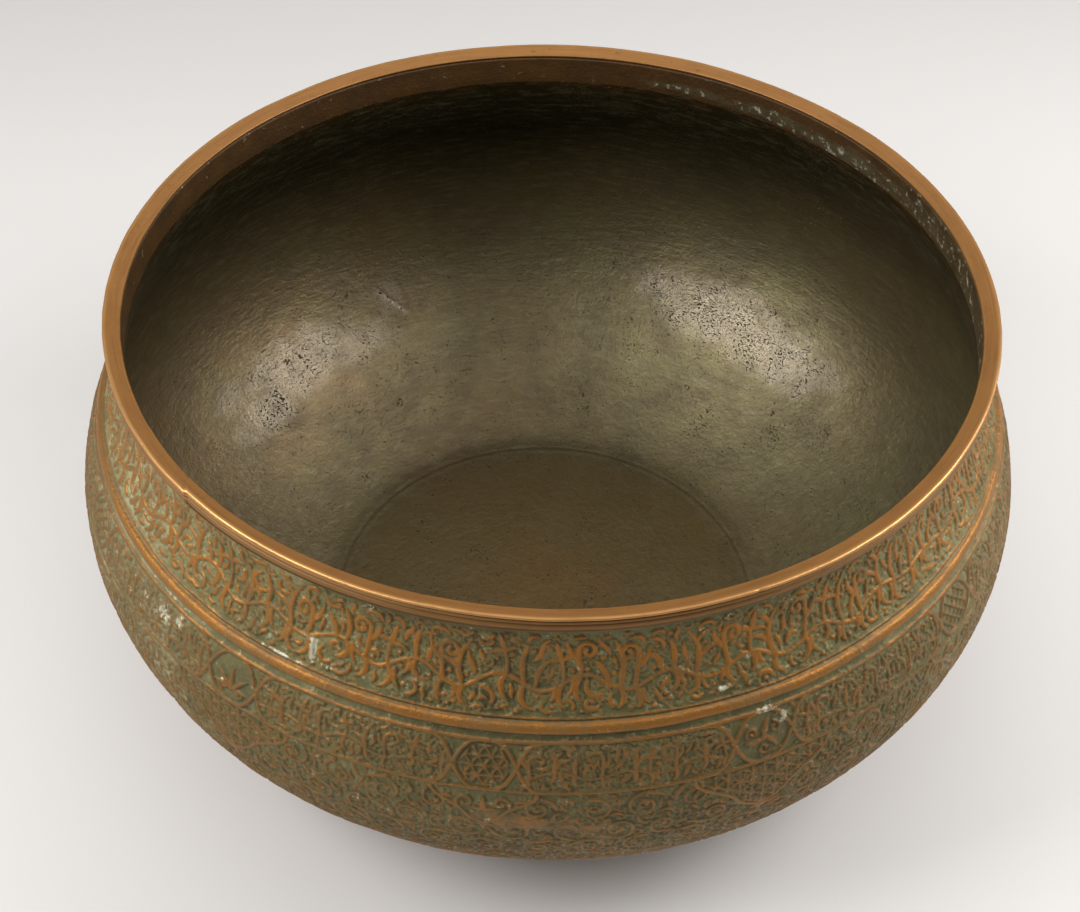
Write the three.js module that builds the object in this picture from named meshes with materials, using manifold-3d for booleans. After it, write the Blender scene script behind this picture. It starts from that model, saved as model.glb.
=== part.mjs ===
// Raised copper bowl: a bellied wall with a girdle ridge, a moulded rim band, a let-in base and a tinned inside.
// Millimetres, +Z up. The origin is the middle of the underside, and the front faces -Y.
import * as THREE from "three";
import { mergeVertices } from "three/addons/utils/BufferGeometryUtils.js";
import Module from "manifold-3d";

const wasm = await Module();
wasm.setup();

// Overall form
const HEIGHT = 125; // table to the top of the rim
const RIM_RADIUS = 115; // outside of the rim band
const BELLY_RADIUS = 128; // widest line of the belly
const BASE_RADIUS = 67; // corner where the belly meets the flat underside

// Wall line
const WALL = 1.5; // gauge of the copper sheet
const NECK_DROP = 8; // rim top to the narrowest line of the neck
const RIDGE_DROP = 31; // rim top to the middle of the girdle ridge
const SHOULDER_DEPTH = 26.5; // girdle ridge down to the widest line of the belly
const SHOULDER_FALL = 7.5; // how much slimmer the wall is at the ridge than at the belly
const NECK_SWEEP = 8; // how far the neck runs straight before it flares
const SHOULDER_SWEEP = 8; // how far the shoulder's slope carries on above the ridge
const RIDGE_WIDTH = 3.2;
const RIDGE_PROUD = 0.8;

// Rim band, a strip with a stepped section that caps the lip
const RIM_WIDTH = 4.4; // flat top, from the inside edge to the outside edge
const RIM_CAP = 1.6; // metal over the lip
const INNER_ROUND = 0.8; // rounded inside edge
const OUTER_ROUND = 0.8; // rounded outside edge
const QUIRK = 0.4; // narrow groove between two mouldings
const QUIRK_DEPTH = 0.5;
const SMALL_BEAD = 0.9;
const LARGE_BEAD = 1.6;
const HEEL = 0.4; // plain edge under the large bead
const SCARF_LENGTH = 14; // how far the strip's two ends overlap
const SCARF_AZIMUTH = -49.5; // degrees from the front, positive to the right

// Base and lining
const FOOT_LAND = 2.6; // flat turned in at the wall's foot
const FILL_RECESS = 0.2; // how far the base seam lies above the table
const LINING = 0.3; // tin coat
const LINING_DROP = 10.5; // rim top to the upper edge of the tin

// Joints
const SOLDER = 0.4; // thickness of a solder film
const SEAM_WIDTH = 0.6; // width of the ring of solder round the base disc
const GAP = 0.3; // clearance from one piece to the next

// Facets
const SEGMENTS = 60;
const NECK_STEPS = 5;
const SHOULDER_STEPS = 3;
const BELLY_STEPS = 8;
const RIDGE_STEPS = 4;
const ROUND_STEPS = 2;

// Sizes that follow
const RIM_INNER = RIM_RADIUS - RIM_WIDTH;
const NECK_RADIUS = RIM_INNER + WALL;
const NECK_Z = HEIGHT - NECK_DROP;
const JOINT = GAP + SOLDER + GAP;
const LIP_Z = HEIGHT - RIM_CAP - JOINT;
const SKIRT_RADIUS = NECK_RADIUS + JOINT;
const RIM_DEPTH = OUTER_ROUND + QUIRK + SMALL_BEAD + QUIRK + LARGE_BEAD + HEEL;
const SKIRT_Z = HEIGHT - RIM_DEPTH;
const RIDGE_Z = HEIGHT - RIDGE_DROP;
const RIDGE_RADIUS = BELLY_RADIUS - SHOULDER_FALL;
const BELLY_Z = RIDGE_Z - SHOULDER_DEPTH;
const FOOT_RADIUS = BASE_RADIUS - FOOT_LAND;
const SEAM_OUTER = FOOT_RADIUS - GAP;
const SEAM_INNER = SEAM_OUTER - SEAM_WIDTH;
const DISC_RADIUS = SEAM_INNER - GAP;

const point = (radius, z) => new THREE.Vector2(radius, z);

// Shoulder and belly are two quarters of ellipses that share the widest line.
const shoulderAngle = Math.acos(RIDGE_RADIUS / BELLY_RADIUS);
const shoulderRise = SHOULDER_DEPTH / Math.sin(shoulderAngle);
const baseAngle = Math.acos(BASE_RADIUS / BELLY_RADIUS);
const bellyDepth = BELLY_Z / Math.sin(baseAngle);

// The wall's outer line without its ridge, from the top of the lip to the corner of the base.
function wallLine() {
  const ridge = point(RIDGE_RADIUS, RIDGE_Z);
  const slope = point(
    -BELLY_RADIUS * Math.sin(shoulderAngle),
    shoulderRise * Math.cos(shoulderAngle),
  ).setLength(SHOULDER_SWEEP);
  const neck = new THREE.CubicBezierCurve(
    point(NECK_RADIUS, NECK_Z),
    point(NECK_RADIUS, NECK_Z - NECK_SWEEP),
    ridge.clone().add(slope),
    ridge,
  );
  const shoulder = new THREE.EllipseCurve(
    0, BELLY_Z, BELLY_RADIUS, shoulderRise, shoulderAngle, 0, true,
  );
  const belly = new THREE.EllipseCurve(
    0, BELLY_Z, BELLY_RADIUS, bellyDepth, 0, -baseAngle, true,
  );
  return [
    point(NECK_RADIUS, LIP_Z),
    ...neck.getPoints(NECK_STEPS),
    ...shoulder.getPoints(SHOULDER_STEPS).slice(1),
    ...belly.getPoints(BELLY_STEPS).slice(1),
  ];
}

// The unit normal at one point of a line that runs downwards, pointing away from the axis.
function outwardAt(line, i) {
  const before = line[Math.max(i - 1, 0)];
  const after = line[Math.min(i + 1, line.length - 1)];
  const along = after.clone().sub(before).normalize();
  return point(-along.y, along.x);
}

// The same line moved towards the axis by a depth.
function inset(line, depth) {
  return line.map((p, i) => p.clone().addScaledVector(outwardAt(line, i), -depth));
}

// The stretch of a falling line between two heights, with its ends cut to them.
function between(line, top, bottom) {
  const atHeight = (z) => {
    const i = line.findIndex((p, k) => k > 0 && p.y <= z);
    const k = i < 0 ? line.length - 1 : i;
    const [a, b] = [line[k - 1], line[k]];
    return point(a.x + ((b.x - a.x) * (z - a.y)) / (b.y - a.y), z);
  };
  const inside = line.filter((p) => p.y < top - 1e-6 && p.y > bottom + 1e-6);
  return [atHeight(top), ...inside, atHeight(bottom)];
}

// The outer line with the half-round girdle ridge laid on it.
function ridgedLine() {
  const line = wallLine();
  const upper = between(line, LIP_Z, RIDGE_Z + RIDGE_WIDTH / 2);
  const lower = between(line, RIDGE_Z - RIDGE_WIDTH / 2, 0);
  const from = upper[upper.length - 1];
  const to = lower[0];
  const along = to.clone().sub(from).normalize();
  const out = point(-along.y, along.x);
  const crest = [];
  for (let i = 1; i < RIDGE_STEPS; i++) {
    const t = i / RIDGE_STEPS;
    const rise = RIDGE_PROUD * Math.sin(Math.PI * t);
    crest.push(from.clone().lerp(to, t).addScaledVector(out, rise));
  }
  return [...upper, ...crest, ...lower];
}

// A quarter round between two corners, bulging towards a third.
function quarterRound(start, corner, end) {
  const curve = new THREE.QuadraticBezierCurve(start, corner, end);
  return curve.getPoints(ROUND_STEPS);
}

// A solid of revolution from a closed outline that runs clockwise in (radius, z).
function turned(outline) {
  const rising = [...outline, outline[0]].reverse();
  return new THREE.LatheGeometry(rising, SEGMENTS).rotateX(Math.PI / 2);
}

function wallGeometry() {
  const inner = between(inset(wallLine(), WALL), LIP_Z, WALL);
  return turned([
    ...ridgedLine(),
    point(FOOT_RADIUS, 0),
    point(FOOT_RADIUS, WALL),
    ...inner.reverse(),
  ]);
}

// One half-round moulding on the outside of the band, hanging from a height.
function bead(top, size) {
  const root = RIM_RADIUS - QUIRK_DEPTH;
  const points = [];
  for (let i = 0; i <= ROUND_STEPS + 1; i++) {
    const t = i / (ROUND_STEPS + 1);
    points.push(point(root + QUIRK_DEPTH * Math.sin(Math.PI * t), top - size * t));
  }
  return points;
}

function rimRing() {
  const quirk = RIM_RADIUS - QUIRK_DEPTH;
  const roundFoot = HEIGHT - OUTER_ROUND;
  const smallTop = roundFoot - QUIRK;
  const largeTop = smallTop - SMALL_BEAD - QUIRK;
  const capFoot = HEIGHT - RIM_CAP;
  return turned([
    ...quarterRound(
      point(RIM_INNER, HEIGHT - INNER_ROUND),
      point(RIM_INNER, HEIGHT),
      point(RIM_INNER + INNER_ROUND, HEIGHT),
    ),
    ...quarterRound(
      point(RIM_RADIUS - OUTER_ROUND, HEIGHT),
      point(RIM_RADIUS, HEIGHT),
      point(RIM_RADIUS, roundFoot),
    ),
    point(quirk, roundFoot - QUIRK / 2),
    ...bead(smallTop, SMALL_BEAD),
    ...bead(largeTop, LARGE_BEAD),
    point(quirk, SKIRT_Z),
    point(SKIRT_RADIUS, SKIRT_Z),
    point(SKIRT_RADIUS, capFoot),
    point(RIM_INNER, capFoot),
  ]);
}

function rimSolderGeometry() {
  const bottom = LIP_Z + GAP;
  const inside = NECK_RADIUS + GAP;
  return turned([
    point(RIM_INNER, bottom + SOLDER),
    point(inside + SOLDER, bottom + SOLDER),
    point(inside + SOLDER, SKIRT_Z),
    point(inside, SKIRT_Z),
    point(inside, bottom),
    point(RIM_INNER, bottom),
  ]);
}

// Boolean cuts on closed geometry
function solidFrom(geometry) {
  const bare = geometry.clone();
  bare.deleteAttribute("normal");
  bare.deleteAttribute("uv");
  const merged = mergeVertices(bare, 1e-4);
  return new wasm.Manifold(
    new wasm.Mesh({
      numProp: 3,
      vertProperties: merged.attributes.position.array,
      triVerts: new Uint32Array(merged.index.array),
    }),
  );
}

function geometryFrom(solid) {
  const mesh = solid.getMesh();
  return new THREE.BufferGeometry()
    .setAttribute("position", new THREE.BufferAttribute(mesh.vertProperties, 3))
    .setIndex(new THREE.BufferAttribute(mesh.triVerts, 1));
}

// A slanting plate that stands across the rim where the strip's two ends lap.
function scarfPlate(thickness) {
  const azimuth = THREE.MathUtils.degToRad(SCARF_AZIMUTH);
  const slant = Math.atan2(RIM_WIDTH, SCARF_LENGTH);
  const middle = RIM_RADIUS - RIM_WIDTH / 2;
  return new THREE.BoxGeometry(2 * SCARF_LENGTH, thickness, 2 * RIM_DEPTH)
    .rotateZ(slant)
    .translate(0, -middle, SKIRT_Z)
    .rotateZ(azimuth);
}

const rimSolid = solidFrom(rimRing());
const rimBandGeometry = () => geometryFrom(rimSolid.subtract(solidFrom(scarfPlate(JOINT))));
const scarfSolderGeometry = () => geometryFrom(rimSolid.intersect(solidFrom(scarfPlate(SOLDER))));

function baseDiscGeometry() {
  return turned([
    point(0, WALL),
    point(DISC_RADIUS, WALL),
    point(DISC_RADIUS, 0),
    point(0, 0),
  ]);
}

function baseSolderGeometry() {
  return turned([
    point(SEAM_INNER, WALL),
    point(SEAM_OUTER, WALL),
    point(SEAM_OUTER, FILL_RECESS),
    point(SEAM_INNER, FILL_RECESS),
  ]);
}

function liningGeometry() {
  const top = HEIGHT - LINING_DROP;
  const bottom = WALL + GAP;
  const backed = between(inset(wallLine(), WALL + GAP), top, bottom);
  const bare = between(inset(wallLine(), WALL + GAP + LINING), top, bottom + LINING);
  return turned([
    ...backed,
    point(0, bottom),
    point(0, bottom + LINING),
    ...bare.reverse(),
  ]);
}

// Finishes
const finish = (color, roughness, metalness) =>
  new THREE.MeshStandardMaterial({ color, roughness, metalness });

const patinatedCopper = () => finish(0x7d6040, 0.6, 0.8);
const wornCopper = () => finish(0xaf7a48, 0.4, 0.9);
const darkSolder = () => finish(0x8d8672, 0.55, 0.8);
const agedTin = () => finish(0x4c4836, 0.5, 0.8);

const bowl = new THREE.Group();

function add(name, geometry, material) {
  const mesh = new THREE.Mesh(geometry, material);
  mesh.name = name;
  bowl.add(mesh);
}

add("bowl_wall", wallGeometry(), patinatedCopper());
add("rim_band", rimBandGeometry(), wornCopper());
add("rim_solder", rimSolderGeometry(), darkSolder());
add("rim_scarf_solder", scarfSolderGeometry(), darkSolder());
add("base_disc", baseDiscGeometry(), patinatedCopper());
add("base_solder", baseSolderGeometry(), darkSolder());
add("tin_lining", liningGeometry(), agedTin());

export default bowl;
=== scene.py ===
import math
from functools import partial

import bpy
import numpy as np
from mathutils import Matrix, Vector


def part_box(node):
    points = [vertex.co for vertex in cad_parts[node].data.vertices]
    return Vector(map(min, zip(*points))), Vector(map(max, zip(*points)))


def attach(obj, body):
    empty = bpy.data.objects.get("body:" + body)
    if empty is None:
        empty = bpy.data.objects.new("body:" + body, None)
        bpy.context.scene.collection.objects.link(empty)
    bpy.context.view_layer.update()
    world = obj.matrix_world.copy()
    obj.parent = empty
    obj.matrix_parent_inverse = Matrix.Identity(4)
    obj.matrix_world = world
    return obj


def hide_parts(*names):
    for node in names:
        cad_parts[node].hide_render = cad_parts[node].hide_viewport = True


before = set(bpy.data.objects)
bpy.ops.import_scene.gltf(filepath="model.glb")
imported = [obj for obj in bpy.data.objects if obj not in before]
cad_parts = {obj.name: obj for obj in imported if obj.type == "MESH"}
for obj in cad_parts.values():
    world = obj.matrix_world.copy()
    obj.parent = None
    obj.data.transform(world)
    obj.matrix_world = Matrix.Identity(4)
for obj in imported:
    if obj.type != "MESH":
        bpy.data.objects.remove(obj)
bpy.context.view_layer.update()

MM = 0.001
SEED = 12

# Driving sizes, the first three from the frame
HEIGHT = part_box("rim_band")[1][2] / MM
RIM_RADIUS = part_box("rim_band")[1][0] / MM
BELLY_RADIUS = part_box("bowl_wall")[1][0] / MM
BASE_RADIUS = 67.0
WALL = 1.5
NECK_DROP = 8.0
RIDGE_DROP = 31.0
SHOULDER_DEPTH = 26.5
SHOULDER_FALL = 7.5
NECK_SWEEP = 8.0
SHOULDER_SWEEP = 8.0
RIM_WIDTH = 4.4
RIM_CAP = 1.6
RIM_DEPTH = 4.5
FOOT_LAND = 2.6
LINING_DROP = 10.5
FIT = 1.0

RIM_INNER = RIM_RADIUS - RIM_WIDTH
NECK_RADIUS = RIM_INNER + WALL
NECK_Z = HEIGHT - NECK_DROP
LIP_Z = HEIGHT - RIM_CAP - FIT
RIDGE_Z = HEIGHT - RIDGE_DROP
RIDGE_RADIUS = BELLY_RADIUS - SHOULDER_FALL
BELLY_Z = RIDGE_Z - SHOULDER_DEPTH
FOOT_RADIUS = BASE_RADIUS - FOOT_LAND
DISC_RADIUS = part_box("base_disc")[1][0] / MM

# Chased bands, as distances down the wall from the neck
FRIEZE = (0.9, 21.6)
TOP_LINE = 22.6
RIDGE_WIDTH = 2.8
RIDGE_PROUD = 0.7
UPPER_LINE = 28.45
CARTOUCHE_MIDDLE = 35.4
LOWER_LINE = 42.3
FIELD = (43.2, 94.0)
GROUND_DEPTH = 0.52
TENDRIL_LIFT = 0.26
FAR = -1.5

# Roundels, in degrees from the front, positive to the right
ROUNDELS = 12
FIRST_ROUNDEL = -35.8
ROUNDEL_RADIUS = 7.4

# Counts and sizes of the ornament: waves of a vine, rows of scrolls and how many go round, pendants' size as
# half width and depth
FRIEZE_WAVES = 38
PANEL_WAVES = 3
SCROLL_ROW_GAP = 8.6
SCROLLS_ROUND = 66
LARGE_PENDANT = (17.5, 16.0)
SMALL_PENDANT = (12.4, 10.5)

# The sweep between wall and floor inside, then the rim strip: fall of its top towards the inside, the lap of
# its ends, and its larger nicks as degrees, point of the section, size and depth
FLOOR_SWEEP = 1.6
RIM_SLOPE = 1.3
LAP_ANGLE = -49.5
LAP_LENGTH = 14.0
RIM_NICKS = [(-176.0, 9, 0.7, 0.3), (171.0, 12, 0.6, 0.3), (158.0, 8, 0.7, 0.3), (24.0, 18, 0.9, 0.2)]

# Sampling of the meshes, the wall fine where it is chased and coarse below; counts of marks; and how many
# short parts of strokes are worked on together
COLUMNS = 2400
FINE_STEP = 0.32
COARSE_STEP = 0.9
FINE_END = 98.0
INNER_COLUMNS = 1500
INNER_STEP = 0.5
RIM_COLUMNS = 1800
BASE_COLUMNS = 360
HAMMER_BLOWS = 2600
SMALL_NICKS = 120
PARTS_AT_ONCE = 4000


def random_for(*words):
    """A seeded generator of its own for each thing that varies."""
    return np.random.default_rng([SEED, *(sum(ord(c) * (i + 7) for i, c in enumerate(w)) for w in words)])


# Wall line

def smooth(x, low, high):
    """0 below low, 1 above high, and an even slope between."""
    t = np.clip((x - low) / (high - low), 0, 1)
    return t * t * (3 - 2 * t)


def wall_line():
    """The wall's outer line from the lip to the base corner: distance from the neck, radius, height."""
    shoulder = math.acos(RIDGE_RADIUS / BELLY_RADIUS)
    shoulder_rise = SHOULDER_DEPTH / math.sin(shoulder)
    corner = math.acos(BASE_RADIUS / BELLY_RADIUS)
    belly_depth = BELLY_Z / math.sin(corner)
    slope = np.array([-BELLY_RADIUS * math.sin(shoulder), shoulder_rise * math.cos(shoulder)])
    slope *= SHOULDER_SWEEP / np.linalg.norm(slope)
    start = np.array([NECK_RADIUS, NECK_Z])
    ridge = np.array([RIDGE_RADIUS, RIDGE_Z])
    t = np.linspace(0, 1, 160)[:, None]
    neck = ((1 - t) ** 3 * start + 3 * (1 - t) ** 2 * t * (start - [0, NECK_SWEEP])
            + 3 * (1 - t) * t ** 2 * (ridge + slope) + t ** 3 * ridge)
    a = np.linspace(shoulder, 0, 160)[1:]
    b = np.linspace(0, -corner, 500)[1:]
    upper = np.stack([BELLY_RADIUS * np.cos(a), BELLY_Z + shoulder_rise * np.sin(a)], 1)
    lower = np.stack([BELLY_RADIUS * np.cos(b), BELLY_Z + belly_depth * np.sin(b)], 1)
    line = np.concatenate([[[NECK_RADIUS, LIP_Z]], neck, upper, lower])
    run = np.concatenate([[0], np.cumsum(np.hypot(*np.diff(line, axis=0).T))])
    return run - (LIP_Z - NECK_Z), line[:, 0], line[:, 1]


LINE_RUN, LINE_RADIUS, LINE_HEIGHT = wall_line()
RIDGE_RUN = float(np.interp(-RIDGE_Z, -LINE_HEIGHT, LINE_RUN))
BASE_RUN = float(LINE_RUN[-1])


def on_wall(run):
    """Radius, height and outward normal of the wall at distances down from the neck."""
    radius = np.interp(run, LINE_RUN, LINE_RADIUS)
    height = np.interp(run, LINE_RUN, LINE_HEIGHT)
    ahead = np.clip(run + 0.4, LINE_RUN[0], BASE_RUN)
    behind = np.clip(run - 0.4, LINE_RUN[0], BASE_RUN)
    dr = np.interp(ahead, LINE_RUN, LINE_RADIUS) - np.interp(behind, LINE_RUN, LINE_RADIUS)
    dz = np.interp(ahead, LINE_RUN, LINE_HEIGHT) - np.interp(behind, LINE_RUN, LINE_HEIGHT)
    length = np.hypot(dr, dz)
    return radius, height, -dz / length, dr / length


# Clouds of even noise over a sheet that closes on itself sideways

def cloud(rows, columns, down, across, rng):
    """Soft noise from -1 to 1, with about down by across blobs over the sheet."""
    grid = rng.uniform(-1, 1, (down + 2, across))
    y = np.linspace(0, down, rows)
    x = np.arange(columns) * across / columns
    iy = y.astype(int)
    ix = x.astype(int)
    fy = (y - iy)[:, None]
    fx = x - ix
    fy = fy * fy * (3 - 2 * fy)
    fx = fx * fx * (3 - 2 * fx)
    right = (ix + 1) % across
    top = grid[iy][:, ix] * (1 - fx) + grid[iy][:, right] * fx
    low = grid[iy + 1][:, ix] * (1 - fx) + grid[iy + 1][:, right] * fx
    return top * (1 - fy) + low * fy


def ripples(points, size, rng, waves=28):
    """Soft noise from about -1 to 1 at points in space, with blobs of about a size in millimetres."""
    out = np.zeros(points.shape[:-1])
    for _ in range(waves):
        way = rng.normal(size=3)
        way *= rng.uniform(0.7, 1.4) / np.linalg.norm(way)
        out += np.sin(points @ way * (math.pi / size) + rng.uniform(0, 2 * math.pi))
    return out / math.sqrt(waves)


# Drawn strokes: each is a line of points (across, down) in millimetres with a half width at each point

def stroke(points, widths):
    """One stroke resampled to short even steps."""
    points = np.asarray(points, float)
    run = np.concatenate([[0], np.cumsum(np.hypot(*np.diff(points, axis=0).T))])
    count = max(2, int(math.ceil(run[-1] / 0.7)) + 1)
    at = np.linspace(0, run[-1], count)
    widths = np.interp(np.linspace(0, 1, count), np.linspace(0, 1, len(widths)), widths)
    return np.stack([np.interp(at, run, points[:, 0]), np.interp(at, run, points[:, 1]), widths], 1)


def swept(root, heading, parts, widths):
    """A stroke from a root that bends by so many degrees over each part's length."""
    x, y = [root[0]], [root[1]]
    a = math.radians(heading)
    for length, bend in parts:
        steps = max(3, int(length / 0.6))
        for _ in range(steps):
            a += math.radians(bend) / steps
            x.append(x[-1] + length / steps * math.cos(a))
            y.append(y[-1] + length / steps * math.sin(a))
    return stroke(np.stack([x, y], 1), widths)


def spiral(centre, outer, inner, start, turns, widths):
    """A scroll that winds inwards; positive turns go from across towards down."""
    t = np.linspace(0, 1, max(10, int(abs(turns) * 26)))
    angle = math.radians(start) + 2 * math.pi * turns * t
    radius = outer + (inner - outer) * t ** 0.85
    points = np.stack([centre[0] + radius * np.cos(angle), centre[1] + radius * np.sin(angle)], 1)
    return stroke(points, widths)


def leaf(root, heading, length, bend, width):
    """A tapering leaf on a bent spine, fullest in its first half."""
    fullness = np.sin(np.pi * np.linspace(0, 1, 9) ** 0.62) ** 0.8
    return swept(root, heading, [(length, bend)], 0.16 + width * fullness)


def crozier(root, heading, length, way, curl, width):
    """A shoot that rises straight and winds into a hooked head."""
    turn = way * math.degrees(curl / 1.9)
    return swept(root, heading, [(length, way * 10), (curl, turn), (curl * 0.4, turn * 0.75)],
                 width * np.array([0.9, 1, 1.05, 1, 0.9, 0.9]))


def hook(centre, size, start, turns, width):
    """A comma shaped tendril with a swollen head."""
    return spiral(centre, size, size * 0.3, start, turns, [width * 0.55, width, width, width * 1.25])


def trefoil(centre, heading, size, width):
    """A bud of three short leaves."""
    return [leaf(centre, heading, size, 0, width * 1.15),
            leaf(centre, heading - 62, size * 0.8, -50, width),
            leaf(centre, heading + 62, size * 0.8, 50, width)]


def dot(centre, size):
    """A round boss."""
    return stroke([(centre[0] - 0.05, centre[1]), (centre[0] + 0.05, centre[1])], [size, size])


def moved(strokes, across, down):
    """The same strokes shifted."""
    return [s + [across, down, 0] for s in strokes]


def kept(strokes, inside):
    """The stretches of the strokes whose points pass a test of (across, down)."""
    out = []
    for s in strokes:
        mask = inside(s[:, 0], s[:, 1])
        edges = np.flatnonzero(np.diff(np.concatenate([[0], mask.astype(int), [0]])))
        for a, b in zip(edges[::2], edges[1::2]):
            if b - a > 1:
                out.append(s[a:b])
    return out


def cell_width(run, columns):
    """The width of one cell of the sheet where it meets the wall at a run."""
    return 2 * math.pi * float(on_wall(np.array([run]))[0][0]) / columns


class Relief:
    """How far each cell of the sheet lies inside the edge of a raised stroke, in millimetres."""

    def __init__(self, rows, columns, top, step):
        self.edge = np.full((rows, columns), FAR, np.float32)
        self.top = top
        self.step = step

    def raise_strokes(self, strokes, run, reach=1.4):
        """Grow the raised work by strokes whose across is measured at the wall's radius at a run."""
        if not strokes:
            return
        rows, columns = self.edge.shape
        pitch = cell_width(run, columns)
        parts = np.concatenate([np.hstack([s[:-1], s[1:]]) for s in strokes])
        size = np.maximum(parts[:, 2], parts[:, 5])
        for low, high in ((0, 0.35), (0.35, 0.7), (0.7, 1.2), (1.2, 9)):
            chosen = parts[(size >= low) & (size < high)]
            if not len(chosen):
                continue
            half = int(math.ceil((0.4 + chosen[:, (2, 5)].max() + reach) / min(pitch, self.step)))
            oy, ox = np.mgrid[-half:half + 1, -half:half + 1]
            for k in range(0, len(chosen), PARTS_AT_ONCE):
                self._grow(chosen[k:k + PARTS_AT_ONCE], ox.ravel(), oy.ravel(), pitch, rows, columns)

    def _grow(self, parts, ox, oy, pitch, rows, columns):
        """Work the short parts of strokes into the cells round each of them."""
        x0, y0, w0, x1, y1, w1 = (parts[:, i:i + 1] for i in range(6))
        column = np.round((x0 + x1) / 2 / pitch).astype(int) + ox
        row = np.round(((y0 + y1) / 2 - self.top) / self.step).astype(int) + oy
        x = column * pitch - x0
        y = row * self.step + self.top - y0
        dx = x1 - x0
        dy = y1 - y0
        t = np.clip((x * dx + y * dy) / np.maximum(dx * dx + dy * dy, 1e-9), 0, 1)
        depth = w0 + (w1 - w0) * t - np.hypot(x - t * dx, y - t * dy)
        good = (row >= 0) & (row < rows)
        cell = (np.clip(row, 0, rows - 1) * columns + column % columns)[good]
        np.maximum.at(self.edge.reshape(-1), cell, depth[good].astype(np.float32))

    def fits(self, strokes, run, gap):
        """Whether strokes lie clear of all raised work by a gap."""
        rows, columns = self.edge.shape
        pitch = cell_width(run, columns)
        every = np.concatenate(strokes)
        row = np.round((every[:, 1] - self.top) / self.step).astype(int)
        if row.min() < 0 or row.max() >= rows:
            return False
        column = np.round(every[:, 0] / pitch).astype(int) % columns
        return bool((self.edge[row, column] < -(every[:, 2] + gap)).all())

    def fill(self, name, run, band, motifs, gap, allowed=None):
        """Try each kind of motif so many times in the free ground of a band, and set it where it fits."""
        rng = random_for(name)
        for make, tries in motifs:
            self._fill_with(rng, run, band, make, tries, gap, allowed)

    def _fill_with(self, rng, run, band, make, tries, gap, allowed):
        """Try one kind of motif at random places of the free ground."""
        columns = self.edge.shape[1]
        pitch = cell_width(run, columns)
        low = int((band[0] - self.top) / self.step)
        high = int((band[1] - self.top) / self.step)
        for k in range(tries):
            if k % 40 == 0:
                free = np.flatnonzero(self.edge[low:high] < -(gap + 0.35))
            if not len(free):
                return
            cell = int(free[rng.integers(len(free))])
            spot = (cell % columns * pitch, (cell // columns + low) * self.step + self.top)
            if allowed is not None and not allowed(*spot):
                continue
            motif = make(rng, spot)
            bottom = max(s[:, 1].max() + s[:, 2].max() for s in motif)
            top = min(s[:, 1].min() - s[:, 2].max() for s in motif)
            if top > band[0] and bottom < band[1] and self.fits(motif, run, gap):
                self.raise_strokes(motif, run)

    def line(self, run, half_width, wobble):
        """A raised line all the way round, a little uneven."""
        down = self.top + np.arange(len(self.edge))[:, None] * self.step
        np.maximum(self.edge, half_width - np.abs(down - run - wobble), out=self.edge)


def metric(run):
    """Millimetres across for one degree round the wall at a run."""
    return math.radians(1) * float(on_wall(np.array([run]))[0][0])


# Small motifs that fill the ground between the main strokes

def split_leaf(size, width):
    """A maker of palmette leaves of two unequal lobes that part from one root."""
    def make(rng, spot):
        heading = rng.uniform(0, 360)
        way = rng.choice([-1, 1])
        long = size * rng.uniform(0.85, 1.15)
        root = back_from(spot, heading, long * 0.35)
        return [leaf(root, heading - way * 12, long, -way * rng.uniform(60, 110), width),
                leaf(root, heading + way * 40, long * 0.62, way * rng.uniform(50, 110), width * 0.85)]
    return make


def sickle(size, width):
    """A maker of round-bellied crescents of even width."""
    def make(rng, spot):
        heading = rng.uniform(0, 360)
        long = size * rng.uniform(0.8, 1.2)
        bend = rng.choice([-1, 1]) * rng.uniform(110, 190)
        root = back_from(spot, heading + bend / 2, long * 0.35)
        return [swept(root, heading, [(long, bend)], width * np.array([0.7, 1, 1.05, 1, 0.6]))]
    return make


def bent_leaf(size, width):
    """A maker of leaves on a spine bent first one way and then the other."""
    def make(rng, spot):
        heading = rng.choice([-90, 90]) + rng.uniform(-40, 40)
        long = size * rng.uniform(0.8, 1.2)
        bend = rng.choice([-1, 1]) * rng.uniform(30, 80)
        root = back_from(spot, heading, long / 2)
        return [swept(root, heading - bend / 2, [(long / 2, bend), (long / 2, -bend)],
                      width * np.array([0.5, 1, 1.1, 0.9, 0.3]))]
    return make


def small_curl(rng, spot):
    """A hooked tendril for the fine bands."""
    size = rng.uniform(0.9, 1.6)
    start = rng.uniform(0, 360)
    turns = rng.choice([-1, 1]) * rng.uniform(0.6, 1.0)
    return [hook(spot, size, start, turns, rng.uniform(0.3, 0.38))]


def bead(rng, spot):
    """A dot."""
    return [dot(spot, rng.uniform(0.42, 0.62))]


def small_bead(rng, spot):
    """A dot for the fine bands."""
    return [dot(spot, rng.uniform(0.28, 0.4))]


def back_from(spot, heading, distance):
    """The point a distance behind a spot."""
    a = math.radians(heading)
    return spot[0] - distance * math.cos(a), spot[1] - distance * math.sin(a)


def tendril_ground(relief, rng, band, spacing, allowed=None):
    """Fine low curls all over a band, as the chaser's ground."""
    run = sum(band) / 2
    around = 360 * metric(run)
    count = int(around * (band[1] - band[0]) / spacing ** 2)
    x = rng.uniform(0, around, count)
    y = rng.uniform(band[0], band[1], count)
    size = rng.uniform(0.9, 2.0, count)
    start = rng.uniform(0, 360, count)
    turns = rng.choice([-1, 1], count) * rng.uniform(0.4, 0.9, count)
    curls = [spiral((x[i], y[i]), size[i], 0.3, start[i], turns[i], [0.18, 0.24]) for i in range(count)
             if allowed is None or allowed(x[i], y[i])]
    relief.raise_strokes(curls, run, 0.3)


# Frieze: a tall scrolling vine

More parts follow.
